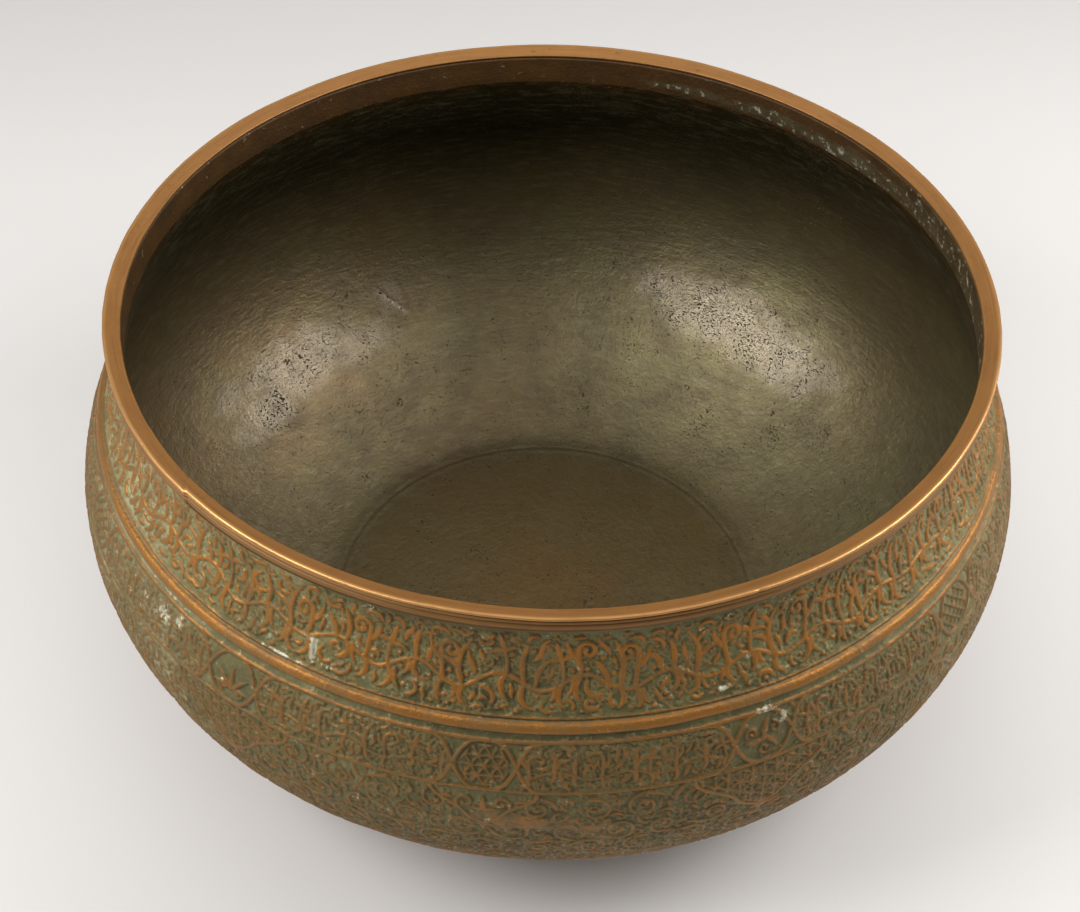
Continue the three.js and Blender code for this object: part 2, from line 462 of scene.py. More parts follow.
def half_palmette(foot, way, rise, tall, width):
    """A long leaf that bends over, with two lobes on its outer side."""
    main = leaf(foot, -90 - way * 34, rise * 1.15, way * 80, width * 1.1)
    out = [main]
    for share, size in ((0.3, 0.3), (0.6, 0.22)):
        root = main[int(len(main) * share), :2]
        out.append(leaf(root, -90 - way * (50 - 60 * share), size * tall, -way * 55, width * 0.85))
    return out


def blades(foot, way, rise, tall, width):
    """Two tall slender leaves that bend over side by side."""
    even = width * np.array([0.7, 1.1, 1.3, 1.2, 0.9, 0.2])
    beside = (foot[0] + way * 4.2 * width, foot[1])
    return [swept(foot, -90 - way * 22, [(rise * 1.04, way * 52)], even),
            swept(beside, -90 - way * 6, [(rise * 0.74, way * 62)], even)]


def curled_shoot(foot, way, rise, tall, width):
    """A shoot with a hooked head, a bud in its eye and a leaf on its back."""
    out = [crozier(foot, -90 - way * 12, rise * 0.75, way, tall * 0.36, width * 1.1)]
    root = out[0][len(out[0]) // 4, :2]
    out.append(leaf(root, -90 - way * 55, tall * 0.3, way * 50, width))
    return out


def bud_on_stalk(foot, way, rise, tall, width):
    """A bent stalk that carries a bud of three leaves."""
    stalk = swept(foot, -90 + way * 8, [(rise * 0.62, -way * 22)], [width * 0.85])
    return [stalk, *trefoil(stalk[-1, :2], -90 - way * 14, tall * 0.25, width * 0.9)]


def running_vine(rng, start, end, band, waves, width):
    """A wavy stem low in a band, with four kinds of growth above it by turns and round leaves below."""
    low, high = band
    tall = high - low
    x = np.arange(start, end, 0.5)
    phase = 2 * math.pi * waves * (x - start) / (end - start)
    stem = low + tall * (0.66 + 0.08 * np.cos(phase) + 0.07 * cloud(2, len(x), 1, 2 * waves, rng)[0])
    out = [stroke(np.stack([x, stem], 1), [width * 0.85])]
    pitch = (end - start) / (3 * waves)
    growths = (half_palmette, blades, curled_shoot, bud_on_stalk)
    kind = 0
    for k in range(3 * waves):
        kind = (kind + rng.integers(1, 4)) % 4
        at = start + (k + rng.uniform(0.2, 0.8)) * pitch
        foot = float(np.interp(at, x, stem))
        way = rng.choice([-1, 1])
        rise = (foot - low - 0.06 * tall) * rng.uniform(0.72, 1)
        out += growths[kind]((at, foot), way, rise, tall, width)
        drop = 0.32 * tall * rng.uniform(0.85, 1.25)
        out.append(leaf((at, foot), 90 + way * 50, drop, -way * rng.uniform(90, 150), width))
        if rng.random() < 0.6:
            beside = (at - way * 0.3 * pitch, foot)
            out.append(leaf(beside, 90 - way * 20, drop * 0.7, way * 60, width * 0.85))
    return out


def frieze_strokes():
    """The vine of the wide band under the rim."""
    low, high = FRIEZE
    around = 360 * metric((low + high) / 2)
    vine = running_vine(random_for("frieze"), 0, around, FRIEZE, FRIEZE_WAVES, 0.58)
    return kept(vine, lambda x, y: (y > low + 0.6) & (y < high - 0.6))


# Cartouche band: strapwork, roundels and long panels

def roundel_at(k, degree):
    """How far across the middle of a roundel lies; halves fall in the long panels."""
    return (FIRST_ROUNDEL + 360 / ROUNDELS * k) * degree


def strap_offset(distance):
    """How far the strap lies from the band's middle at a distance from a roundel's centre."""
    inside = 6.7 * np.cos(np.clip(distance / ROUNDEL_RADIUS, 0, 1) ** 1.7 * math.pi / 2)
    outside = 6.9 * np.tanh(np.clip(distance - ROUNDEL_RADIUS, 0, None) / 2.6)
    return np.where(distance < ROUNDEL_RADIUS, inside, outside)


def strap_strokes(degree):
    """Two straps that cross beside every roundel and bound the long panels."""
    pitch = 360 / ROUNDELS * degree
    x = np.arange(-pitch / 2, pitch / 2, 0.35)
    offset = strap_offset(np.abs(x))
    out = []
    for k in range(ROUNDELS):
        at = roundel_at(k, degree)
        for side in (-1, 1):
            out.append(stroke(np.stack([x + at, CARTOUCHE_MIDDLE + side * offset], 1), [0.5]))
    return out


def star_lattice(size):
    """Six-rayed stars set close on a hexagonal net."""
    gap = 3.05
    out = []
    for row in range(-3, 4):
        for column in range(-3, 4):
            x = (column + 0.5 * (row % 2)) * gap
            y = row * gap * math.sin(math.pi / 3)
            for a in np.arange(3) * math.pi / 3:
                dx, dy = 1.34 * math.cos(a), 1.34 * math.sin(a)
                out.append(stroke([(x - dx, y - dy), (x + dx, y + dy)], [0.3]))
    return kept(out, lambda x, y: np.hypot(x, y) < size)


def net(size, gap, half_width, angles):
    """Crossing sets of parallel lines."""
    out = []
    reach = np.arange(-size * 1.5, size * 1.5, 0.5)
    for angle in angles:
        c, s = math.cos(math.radians(angle)), math.sin(math.radians(angle))
        for k in np.arange(-math.ceil(size * 1.5 / gap), math.ceil(size * 1.5 / gap) + 1):
            points = np.stack([c * reach - s * k * gap, s * reach + c * k * gap], 1)
            out.append(stroke(points, [half_width]))
    return out


def palmette(size):
    """A fan of leaves over two small volutes."""
    out = [leaf((0, 3.4), -90, size, 0, 0.5)]
    for side in (-1, 1):
        out += [leaf((side * 0.5, 3.0), -90 + side * 30, size * 0.9, side * 28, 0.46),
                leaf((side * 0.8, 3.2), -90 + side * 62, size * 0.75, side * 45, 0.42),
                spiral((side * 2.5, 3.2), 1.5, 0.5, 90, -side * 1.0, [0.34])]
    return out


def knot(size):
    """A three-armed scroll with leaves between its arms."""
    out = [dot((0, 0), 0.8)]
    for a in (-90, 30, 150):
        c, s = math.cos(math.radians(a)), math.sin(math.radians(a))
        out.append(leaf((0.7 * c, 0.7 * s), a, size * 0.78, 40, 0.55))
        beside = math.radians(a + 60)
        eye = (0.58 * size * math.cos(beside), 0.58 * size * math.sin(beside))
        out.append(spiral(eye, 1.7, 0.5, a, 1.0, [0.34]))
    return out


def roundel_strokes(degree):
    """The four fillings of the roundels in turn."""
    out = []
    size = 5.7
    fillings = (
        palmette(6.4),
        star_lattice(size),
        knot(size),
        kept(net(size, 2.3, 0.26, (45, 135)), lambda x, y: np.hypot(x, y) < size),
    )
    for k in range(ROUNDELS):
        at = roundel_at(k, degree)
        out += moved(fillings[k % len(fillings)], at, CARTOUCHE_MIDDLE)
    return out


def outside_roundels(degree):
    """The test that a point lies clear of every roundel."""
    pitch = 360 / ROUNDELS * degree

    def test(x, y):
        local = (x - FIRST_ROUNDEL * degree + pitch / 2) % pitch - pitch / 2
        return abs(local) > ROUNDEL_RADIUS + 0.6

    return test


def panel_strokes(degree):
    """The vine of each long panel, between two straps."""
    rng = random_for("panel")
    pitch = 360 / ROUNDELS * degree
    half = pitch / 2 - ROUNDEL_RADIUS - 0.8
    inside = lambda x, y: (np.abs(x) < half + 1.2) & (np.abs(y) < strap_offset(pitch / 2 - np.abs(x)) - 1.0)
    out = []
    for k in range(ROUNDELS):
        at = roundel_at(k + 0.5, degree)
        vine = running_vine(rng, -half, half, (-6.2, 6.2), PANEL_WAVES, 0.4)
        out += moved(kept(vine, inside), at, CARTOUCHE_MIDDLE)
    return out


# Field under the cartouches: pendants on a ground of scrolls

def pendant_half_width(down, wide, deep):
    """Half the width of a lobed pendant at a depth below the line."""
    t = np.clip(down / deep, 0, 1)
    half = wide * (1 - t ** 1.15) + 0.055 * wide * np.sin(3 * math.pi * t)
    return np.where((down > 0) & (down < deep), half, -1)


def pendant_size(k):
    """Large pendants hang under every other roundel."""
    return LARGE_PENDANT if k % 2 == 0 else SMALL_PENDANT


def pendant_strokes(degree):
    """Outlines, fillings and finials of the pendants."""
    out = []
    for k in range(ROUNDELS):
        at = roundel_at(k, degree)
        wide, deep = pendant_size(k)
        down = np.linspace(0, deep, 40)
        half = pendant_half_width(np.clip(down, 0.01, deep - 0.01), wide, deep)
        part = [stroke(np.stack([side * half, down], 1), [0.5]) for side in (-1, 1)]
        inside = lambda x, y: np.abs(x) < pendant_half_width(y, wide, deep) - 0.9
        if k % 2 == 0:
            part += kept(net(wide, 3.1, 0.3, (30, 90, 150)), inside)
            part += trefoil((0, deep + 0.4), 90, 3.4, 0.5)
            part.append(spiral((0, deep + 5.8), 1.7, 1.6, 0, 1.0, [0.34]))
        else:
            filling = trefoil((0, 5.6), -90, 4.2, 0.5)
            for side in (-1, 1):
                filling += [spiral((side * 4.2, 3.4), 2.6, 0.7, 90, -side * 1.2, [0.38]),
                            leaf((side * 7.2, 2.6), 90 - side * 120, 3.6, side * 50, 0.4)]
            part += kept(filling, inside)
            part += trefoil((0, deep + 0.4), 90, 2.8, 0.45)
        out += moved(part, at, FIELD[0])
    return out


def outside_pendants(degree):
    """The test that a point lies clear of every pendant."""
    pitch = 360 / ROUNDELS * degree

    def test(x, y):
        turn = x - FIRST_ROUNDEL * degree
        index = np.round(turn / pitch).astype(int)
        local = np.abs(turn - index * pitch)
        down = y - FIELD[0]
        even = index % 2 == 0
        large = pendant_half_width(down, *LARGE_PENDANT)
        small = pendant_half_width(down, *SMALL_PENDANT)
        return local > np.where(even, large, small) + 1.0

    return test


def field_strokes(degree):
    """Rows of linked scrolls that lose themselves towards the underside."""
    rng = random_for("field")
    out = []
    pitch = 360 * degree / SCROLLS_ROUND
    rows = int((FIELD[1] - FIELD[0]) / SCROLL_ROW_GAP)
    for j in range(rows):
        for k in range(SCROLLS_ROUND):
            x = (k + 0.5 * (j % 2)) * pitch + rng.uniform(-0.9, 0.9)
            y = FIELD[0] + 4.6 + j * SCROLL_ROW_GAP + rng.uniform(-0.8, 0.8)
            way = 1 if (k + j) % 2 else -1
            size = rng.uniform(3.6, 4.5)
            start = rng.uniform(-40, 40) + (90 if j % 2 else -90)
            out.append(spiral((x, y), size, 0.8, start, way * rng.uniform(1.15, 1.5), [0.4, 0.38, 0.32]))
            a = math.radians(start)
            root = (x + size * math.cos(a), y + size * math.sin(a))
            out.append(leaf(root, start - 90 * way, rng.uniform(4.5, 6.5), -way * rng.uniform(20, 60), 0.46))
            out.append(leaf((x + 0.4, y), rng.uniform(0, 360), 2.2, 60, 0.42))
    low, high = FIELD
    clear = outside_pendants(degree)
    return kept(out, lambda x, y: (y > low + 0.6) & (y < high) & clear(x, y))


# Weathering, as patches by place: degrees from the front, run, half sizes in degrees and millimetres

CHALK_PATCHES = (
    (-26.6, 18.5, 0.7, 4.4, 1.0), (-27.6, 15.2, 1.4, 1.0, 0.9), (-24.9, 20.6, 1.3, 0.8, 0.9),
    (-30.5, 22.4, 3.2, 0.5, 1.0),
    (21.6, 1.6, 1.8, 0.9, 0.8), (18.0, 4.4, 0.9, 1.4, 0.6), (20.2, 20.2, 0.9, 0.9, 0.9),
    (25.0, 28.6, 2.2, 1.0, 1.0), (26.6, 31.6, 1.0, 2.4, 0.9), (23.8, 14.2, 0.6, 1.2, 0.6),
    (26.4, 16.2, 0.5, 1.6, 0.6), (-20.0, 1.4, 0.9, 1.1, 0.8), (-50.0, 27.4, 8.0, 0.4, 0.7),
    (-48.0, 33.0, 5.0, 3.4, 0.6), (-15.0, 19.0, 1.0, 2.4, 0.5), (30.0, 22.9, 14.0, 0.35, 0.6),
    (78.0, 12.0, 2.4, 3.0, 0.8), (121.0, 24.0, 3.4, 1.2, 0.8), (158.0, 33.0, 2.6, 3.2, 0.7),
    (-96.0, 17.0, 2.6, 4.0, 0.8), (-131.0, 29.0, 4.0, 1.2, 0.8), (-163.0, 9.0, 2.2, 2.6, 0.7),
)
NECK_CHALK_PATCHES = (
    (112.0, -1.0, 14.0, 3.6, 0.42), (128.0, 0.6, 14.0, 3.8, 0.5), (143.0, 0.0, 12.0, 2.6, 0.46),
    (158.0, 0.0, 10.0, 1.8, 0.4), (92.0, -1.0, 34.0, 8.0, 0.34),
)
# barer tin where the lamps' reflections fall; its lighter colour is worn tin and painted highlight together
WORN_TIN_AND_SHEEN_PATCHES = (
    (-131.0, 96.0, 12.5, 13.0, 0.85), (-121.0, 103.0, 10.0, 8.0, 0.75), (-143.0, 100.0, 9.0, 8.0, 0.65),
    (-117.0, 92.0, 5.0, 6.0, 0.5), (-151.0, 88.0, 3.0, 6.0, 0.5), (159.0, 87.0, 8.0, 8.0, 0.8),
    (150.0, 91.0, 12.0, 13.0, 1.0), (138.0, 95.0, 12.0, 12.0, 1.0), (128.0, 92.0, 6.0, 6.0, 0.6),
)
WORN_PATCHES = (
    (-2.5, 52.5, 7.0, 3.4, 0.9), (4.5, 55.5, 5.0, 2.4, 0.7), (1.5, 10.0, 3.0, 4.5, 0.42),
    (96.0, 52.0, 9.0, 4.0, 0.7), (-118.0, 55.0, 10.0, 4.0, 0.75), (171.0, 49.0, 8.0, 4.0, 0.6),
)
# a short gouge in the tin: degrees and run of its middle
GOUGE = (-151.5, 90.0)


def patches(table, angle, run, rng, frayed=0.55):
    """The strength of soft-edged patches over the sheet."""
    out = np.zeros((len(run), len(angle)))
    ragged = cloud(len(run), len(angle), 46, 260, rng) * frayed
    for at, down, wide, tall, strength in table:
        turn = (angle - at + 180) % 360 - 180
        near = (turn / wide) ** 2 + ((run[:, None] - down) / tall) ** 2
        out = np.maximum(out, strength * smooth(1.25 + ragged - near, 0, 1.3))
    return out


def wall_maps(angle, run):
    """How deep each spot lies in the main strokes and in the low tendrils between them."""
    rows = len(run)
    relief = Relief(rows, len(angle), run[0], run[1] - run[0])
    ground = Relief(rows, len(angle), run[0], run[1] - run[0])
    rng = random_for("lines")
    wobble = cloud(2, len(angle), 1, 90, rng)[0] * 0.09
    relief.line(TOP_LINE, 0.3, wobble)
    relief.line(RIDGE_RUN, RIDGE_WIDTH / 2, 0)
    relief.line(UPPER_LINE, 0.55, -wobble)
    relief.line(LOWER_LINE, 0.42, wobble * 1.5)
    middle = sum(FRIEZE) / 2
    relief.raise_strokes(frieze_strokes(), middle)
    motifs = ((bent_leaf(7.0, 0.6), 1500), (sickle(5.5, 0.56), 2500), (split_leaf(4.0, 0.5), 3000),
              (bent_leaf(4.0, 0.5), 3000), (sickle(3.4, 0.44), 3500), (split_leaf(2.4, 0.38), 4000),
              (bead, 1200))
    relief.fill("frieze fill", middle, FRIEZE, motifs, 0.33)
    degree = metric(CARTOUCHE_MIDDLE)
    for strokes in (strap_strokes, roundel_strokes, panel_strokes):
        relief.raise_strokes(strokes(degree), CARTOUCHE_MIDDLE)
    band = (UPPER_LINE + 0.7, LOWER_LINE - 0.6)
    beside = outside_roundels(degree)
    motifs = ((bent_leaf(4.0, 0.44), 2500), (sickle(3.2, 0.42), 3000), (small_curl, 2000),
              (split_leaf(2.2, 0.34), 3500), (small_bead, 1500))
    relief.fill("cartouche fill", CARTOUCHE_MIDDLE, band, motifs, 0.23, beside)
    degree = metric(FIELD[0])
    relief.raise_strokes(pendant_strokes(degree) + field_strokes(degree), FIELD[0])
    motifs = ((sickle(3.6, 0.42), 5000), (bent_leaf(3.0, 0.4), 5000), (small_curl, 4000),
              (split_leaf(2.2, 0.32), 5000), (small_bead, 2000))
    relief.fill("field fill", FIELD[0], FIELD, motifs, 0.26, outside_pendants(degree))
    tendril_ground(ground, random_for("frieze ground"), FRIEZE, 1.55)
    tendril_ground(ground, random_for("cartouche ground"), (UPPER_LINE, LOWER_LINE), 1.5, beside)
    tendril_ground(ground, random_for("field ground"), (FIELD[0], FIELD[1] - 14), 1.7)
    return relief.edge, ground.edge


def ridge_profile(run, wobble):
    """How far the girdle ridge stands out of the wall."""
    t = (run - RIDGE_RUN - wobble) / (RIDGE_WIDTH / 2)
    return RIDGE_PROUD * np.sqrt(np.clip(1 - np.abs(t) ** 2.4, 0, 1))


# Meshes

def put_mesh(name, vertices, quads, triangles=None):
    """A mesh object from arrays, in metres, smooth shaded."""
    triangles = np.zeros((0, 3), int) if triangles is None else triangles
    mesh = bpy.data.meshes.new(name)
    mesh.vertices.add(len(vertices))
    mesh.vertices.foreach_set("co", (vertices * MM).astype(np.float32).ravel())
    corners = np.concatenate([quads.ravel(), triangles.ravel()]).astype(np.int32)
    starts = np.concatenate([np.arange(len(quads)) * 4, len(quads) * 4 + np.arange(len(triangles)) * 3])
    mesh.loops.add(len(corners))
    mesh.loops.foreach_set("vertex_index", corners)
    mesh.polygons.add(len(starts))
    mesh.polygons.foreach_set("loop_start", starts.astype(np.int32))
    mesh.polygons.foreach_set("use_smooth", np.ones(len(starts), bool))
    mesh.update(calc_edges=True)
    piece = bpy.data.objects.new(name, mesh)
    bpy.context.scene.collection.objects.link(piece)
    return piece


def ring_quads(rings, columns, closed):
    """Faces between neighbouring rings of a turned sheet, facing away from the axis on a falling line."""
    last = rings if closed else rings - 1
    a = np.arange(last)[:, None] * columns + np.arange(columns)
    b = np.arange(last)[:, None] * columns + (np.arange(columns) + 1) % columns
    below = ((np.arange(last) + 1) % rings)[:, None] * columns
    c = below + (np.arange(columns) + 1) % columns
    d = below + np.arange(columns)
    return np.stack([a, d, c, b], -1).reshape(-1, 4)


def ring_points(angle, radius, height):
    """Points of turned rings; angles are degrees from the front, positive to the right."""
    turn = np.radians(angle)
    radius = np.broadcast_to(radius, np.broadcast_shapes(np.shape(radius), (1, len(angle))))
    height = np.broadcast_to(height, radius.shape)
    return np.stack([radius * np.sin(turn), -radius * np.cos(turn), height], -1)


def lifted(angle, radius, height, lift, out_r, out_z):
    """Points of a turned sheet moved out along its normal by a lift at each point."""
    radius = radius[:, None] + lift * out_r[:, None]
    height = height[:, None] + lift * out_z[:, None]
    return ring_points(angle, radius, height)


def capped(rings):
    """Points and faces of a turned solid whose first ring closes below and whose last closes above."""
    count, columns = rings.shape[:2]
    low = rings[0].mean(0)
    high = rings[-1].mean(0)
    around = np.arange(columns)
    after = (around + 1) % columns
    hub = np.full(columns, count * columns)
    last = (count - 1) * columns
    fans = np.concatenate([
        np.stack([hub, after, around], 1),
        np.stack([hub + 1, last + around, last + after], 1),
    ])
    points = np.concatenate([rings.reshape(-1, 3), [low, high]])
    return points, ring_quads(count, columns, False)[:, ::-1], fans


def sheet_uv(piece, columns, along):
    """A flat map of a closed turned sheet for baking: round the bowl across, along the section down."""
    mesh = piece.data
    v = np.concatenate([along, [1.0]])
    u0 = np.broadcast_to(np.arange(columns) / columns, (len(along), columns))
    u1 = u0 + 1 / columns
    v0 = np.broadcast_to(v[:-1, None], u0.shape)
    v1 = np.broadcast_to(v[1:, None], u0.shape)
    uv = np.stack([u0, v0, u0, v1, u1, v1, u1, v0], -1).reshape(-1)
    mesh.uv_layers.new(name="OFBake").data.foreach_set("uv", uv.astype(np.float32))


def give_map(piece, name, values):
    """One number for each vertex, for the finish to read."""
    layer = piece.data.attributes.new(name, "FLOAT", "POINT")
    layer.data.foreach_set("value", np.asarray(values, np.float32).ravel())


def section_share(radius, height):
    """The share of a closed section's length at each of its rings."""
    step = np.hypot(np.diff(radius, append=radius[0]), np.diff(height, append=height[0]))
    return np.concatenate([[0], np.cumsum(step)[:-1]]) / step.sum()


def make_wall():
    """The raised wall: chased outside, plain inside, closed at the lip and the foot."""
    angle = np.arange(COLUMNS) * 360 / COLUMNS
    fine = np.arange(-0.5, FINE_END, FINE_STEP)
    edge, tendril = wall_maps(angle, fine)
    top = np.linspace(LINE_RUN[0], fine[0] - 0.8, 5)
    coarse = np.arange(fine[-1] + FINE_STEP * 2, BASE_RUN - 0.3, COARSE_STEP)
    run = np.concatenate([top, fine, coarse, [BASE_RUN]])
    rows = len(run)
    cut = np.full((rows, COLUMNS), FAR, np.float32)
    low = np.full((rows, COLUMNS), FAR, np.float32)
    cut[len(top):len(top) + len(fine)] = edge
    low[len(top):len(top) + len(fine)] = tendril
    rng = random_for("wall")
    worn = patches(WORN_PATCHES, angle, run, rng)
    chalk = patches(CHALK_PATCHES, angle, run, rng)
    radius, height, out_r, out_z = on_wall(run)

    # the ground is cut back inside the bands and dies out towards the plain underside
    beside_ridge = smooth(np.abs(run - RIDGE_RUN), RIDGE_WIDTH / 2 - 0.2, RIDGE_WIDTH / 2 + 0.3)
    chased = smooth(run, -0.4, 0.5) * (1 - smooth(run, FIELD[1] - 24, FIELD[1])) * beside_ridge
    raised = smooth(cut, -0.2, 0.2)
    tendrils = smooth(low, -0.12, 0.16) * (1 - raised) * chased[:, None]
    flat = 1 - 0.75 * worn
    crown = 0.08 * (1 - smooth(cut, 0.05, 0.5)) * raised
    depth = chased[:, None] * (GROUND_DEPTH * (1 - raised) + crown) * flat
    pitted = cloud(rows, COLUMNS, rows // 3, COLUMNS // 3, rng) * 0.05 * chased[:, None]
    battered = cloud(rows, COLUMNS, rows // 12, COLUMNS // 10, rng) * 0.05
    rolling = cloud(rows, COLUMNS, 22, 90, rng) * 0.08 + cloud(rows, COLUMNS, 8, 26, rng) * 0.14 - 0.25
    ridge = ridge_profile(run[:, None], cloud(2, COLUMNS, 1, 60, rng)[0] * 0.12)
    ends = (smooth(run, 1, 6) * smooth(BASE_RUN - run, 1, 8))[:, None]
    lift = ridge - depth + TENDRIL_LIFT * tendrils * flat + (pitted + battered + rolling) * ends
    outer = lifted(angle, radius, height, lift, out_r, out_z)

    back = np.concatenate([np.linspace(BASE_RUN, 12, 40)[1:], np.linspace(11, LINE_RUN[0], 36)])
    back_radius, back_height, back_r, back_z = on_wall(back)
    inner_radius = back_radius - WALL * back_r
    inner_height = back_height - WALL * back_z
    keep = inner_height > WALL + 0.3
    start = inner_radius[keep][0] - 1.6
    inner_radius = np.concatenate([[FOOT_RADIUS, FOOT_RADIUS, start], inner_radius[keep]])
    inner_height = np.concatenate([[0, WALL, WALL], inner_height[keep]])
    inner = ring_points(angle, inner_radius[:, None], inner_height[:, None])

    points = np.concatenate([outer, inner])
    piece = put_mesh("chased_wall", points.reshape(-1, 3), ring_quads(len(points), COLUMNS, True))
    share = section_share(np.concatenate([radius, inner_radius]), np.concatenate([height, inner_height]))
    sheet_uv(piece, COLUMNS, share)

    # verdigris has grown most at the left, at both sides of the back and at the right; its paler ground on
    # the left and right also paints those sides lighter than the front, as painted light
    turn = (angle + 180) % 360 - 180
    green = 0.02
    for strength, off, wide in ((0.92, turn + 62, 26), (0.6, np.abs(turn) - 150, 30), (0.6, turn - 64, 24)):
        green = green + strength * np.exp(-((off / wide) ** 2))
    blank = np.zeros((len(inner), COLUMNS))
    lime = blank.copy()
    lime[-len(back[keep]):] = patches(NECK_CHALK_PATCHES, angle, back[keep], rng)
    on_ridge = np.clip(ridge / RIDGE_PROUD, 0, 1)
    for name, outside, inside in (("edge", cut, FAR), ("tendril", tendrils, 0), ("worn", worn, 0),
                                  ("chalk", chalk, lime), ("chased", chased[:, None], 0),
                                  ("ridge", on_ridge, 0), ("green", green, 0), ("neck", 0, 1)):
        give_map(piece, name, np.concatenate([outside + 0 * cut, inside + blank]))
    return piece


def rim_section():
    """The rim strip's section, from the inside edge round to its back, and how many points are hidden."""
    root = RIM_RADIUS - 0.5
    inner_z = HEIGHT - RIM_SLOPE
    t = np.linspace(0, math.pi / 2, 6)
    inner = np.stack([RIM_INNER + 0.4 * (1 - np.cos(t)), inner_z - 0.4 + 0.4 * np.sin(t)], 1)
    outer = np.stack([RIM_RADIUS - 0.55 + 0.55 * np.sin(t), HEIGHT - 0.55 + 0.55 * np.cos(t)], 1)
    across = np.linspace(0, 1, 12)[1:-1]
    rise = 1 - (1 - across) ** 1.25
    crown = np.stack([inner[-1, 0] + (outer[0, 0] - inner[-1, 0]) * across, inner_z + RIM_SLOPE * rise], 1)
    points = [inner, crown, outer, [[root, HEIGHT - 1.0]]]
    for top, size in ((1.15, 1.0), (2.45, 1.7)):
        a = np.linspace(0, math.pi, 8)
        points.append(np.stack([root + 0.5 * np.sin(a), HEIGHT - top - size * (1 - np.cos(a)) / 2], 1))
    hidden = [[root, HEIGHT - RIM_DEPTH], [NECK_RADIUS + 0.1, HEIGHT - RIM_DEPTH],
              [NECK_RADIUS + 0.1, LIP_Z + 0.1], [RIM_INNER + 0.5, LIP_Z + 0.1],
              [RIM_INNER + 0.5, inner_z - 0.7], [RIM_INNER, inner_z - 0.6]]
    return np.concatenate(points + [hidden]), len(hidden)


def make_rim():
    """The moulded strip round the lip, with nicks along its edges and the lap of its two ends."""
    section, hidden = rim_section()
    columns = RIM_COLUMNS
    angle = np.arange(columns) * 360 / columns
    rng = random_for("rim")
    radius = np.repeat(section[:, :1], columns, 1)
    height = np.repeat(section[:, 1:], columns, 1)
    shown = (np.arange(len(section)) < len(section) - hidden)[:, None]
    sway = cloud(2, columns, 1, 34, rng)[0] * 0.14
    waver = cloud(2, columns, 1, 150, rng)[0] * 0.05
    per_degree = math.radians(1) * RIM_RADIUS
    dips = np.zeros((len(section), columns))
    nicks = [(rng.uniform(-180, 180), rng.integers(4, 24), rng.uniform(0.3, 1.1), rng.uniform(0.03, 0.09))
             for _ in range(SMALL_NICKS)]
    nicks += RIM_NICKS
    for at, row, size, deep in nicks:
        across = ((angle - at + 180) % 360 - 180) * per_degree / size
        down = np.hypot(*(section - section[row]).T)[:, None] / (0.8 * size)
        dips = np.maximum(dips, deep * np.exp(-(across ** 2 + down ** 2)))
    # the strip's two ends lap on a slant across the top; past the end the edge stands back a little
    along = np.clip((section[:, 0] - RIM_INNER) / RIM_WIDTH, 0, 1)[:, None]
    end = LAP_ANGLE + LAP_LENGTH / 2 / per_degree
    away = ((angle - end + (1 - along) * 5 / per_degree + 180) % 360 - 180) * per_degree
    seam = 0.14 * np.exp(-(away / 0.22) ** 2) * (HEIGHT - section[:, 1:] < 1.6)
    step = 0.5 * np.exp(-np.clip(away, 0, None) / 60) * smooth(away, -0.1, 0.5)
    dips = np.maximum(dips, seam) * shown
    middle_r = RIM_RADIUS - RIM_WIDTH / 2
    middle_z = HEIGHT - RIM_DEPTH / 2
    away_r = section[:, :1] - middle_r
    away_z = section[:, 1:] - middle_z
    length = np.hypot(away_r, away_z)
    tops = smooth(section[:, 1], HEIGHT - 3.5, HEIGHT)[:, None]
    outer = smooth(section[:, 0], RIM_INNER + 2, RIM_RADIUS - 1)[:, None]
    radius = radius + (waver - 0.05) * shown - dips * away_r / length - step * outer * shown
    height = height + (sway - 0.14) * tops - dips * away_z / length
    points = ring_points(angle, radius, height)
    piece = put_mesh("moulded_rim", points.reshape(-1, 3), ring_quads(len(section), columns, True))
    sheet_uv(piece, columns, section_share(section[:, 0], section[:, 1]))
    sunk = smooth(HEIGHT - section[:, 1], 0.7, 1.2)
    sunk = sunk * smooth(section[:, 0], RIM_RADIUS - 1.2, RIM_RADIUS - 0.9)
    groove = 1 - smooth(section[:, 0], RIM_RADIUS - 0.5, RIM_RADIUS - 0.12)
    moulding = sunk * (0.55 + 0.45 * groove)
    give_map(piece, "sunk", np.clip(moulding[:, None] + 2 * dips, 0, 1))
    corner = np.hypot(section[:, 0] - RIM_RADIUS + 0.15, section[:, 1] - HEIGHT + 0.15)[:, None]
    rubbing = 1 + 0.5 * cloud(2, columns, 1, 110, rng)[0]
    give_map(piece, "polish", np.clip((1 - smooth(corner, 0.3, 1.0)) * rubbing, 0, 1))
    return piece


def hammer_marks(across, down, rng, count, sizes, depths):
    """Shallow round flats left by a planishing hammer, the later ones biting into the earlier."""
    rows, columns = len(down), len(across)
    out = np.zeros((rows, columns))
    for _ in range(count):
        row = rng.integers(rows)
        column = rng.integers(columns)
        size = rng.uniform(*sizes)
        depth = rng.uniform(*depths)
        pitch = across[1] * down[row]
        half = min(int(size / pitch) + 1, columns // 2 - 1)
        high = int(size / INNER_STEP) + 1
        low, top = max(0, row - high), min(rows, row + high + 1)
        around = (column + np.arange(-half, half + 1)) % columns
        y = (np.arange(low, top) - row)[:, None] * INNER_STEP
        x = np.arange(-half, half + 1) * pitch
        flat = 1 - smooth(np.hypot(x, y), 0.62 * size, size)
        cells = np.ix_(np.arange(low, top), around)
        out[cells] = np.maximum(out[cells], depth * flat)
    return out


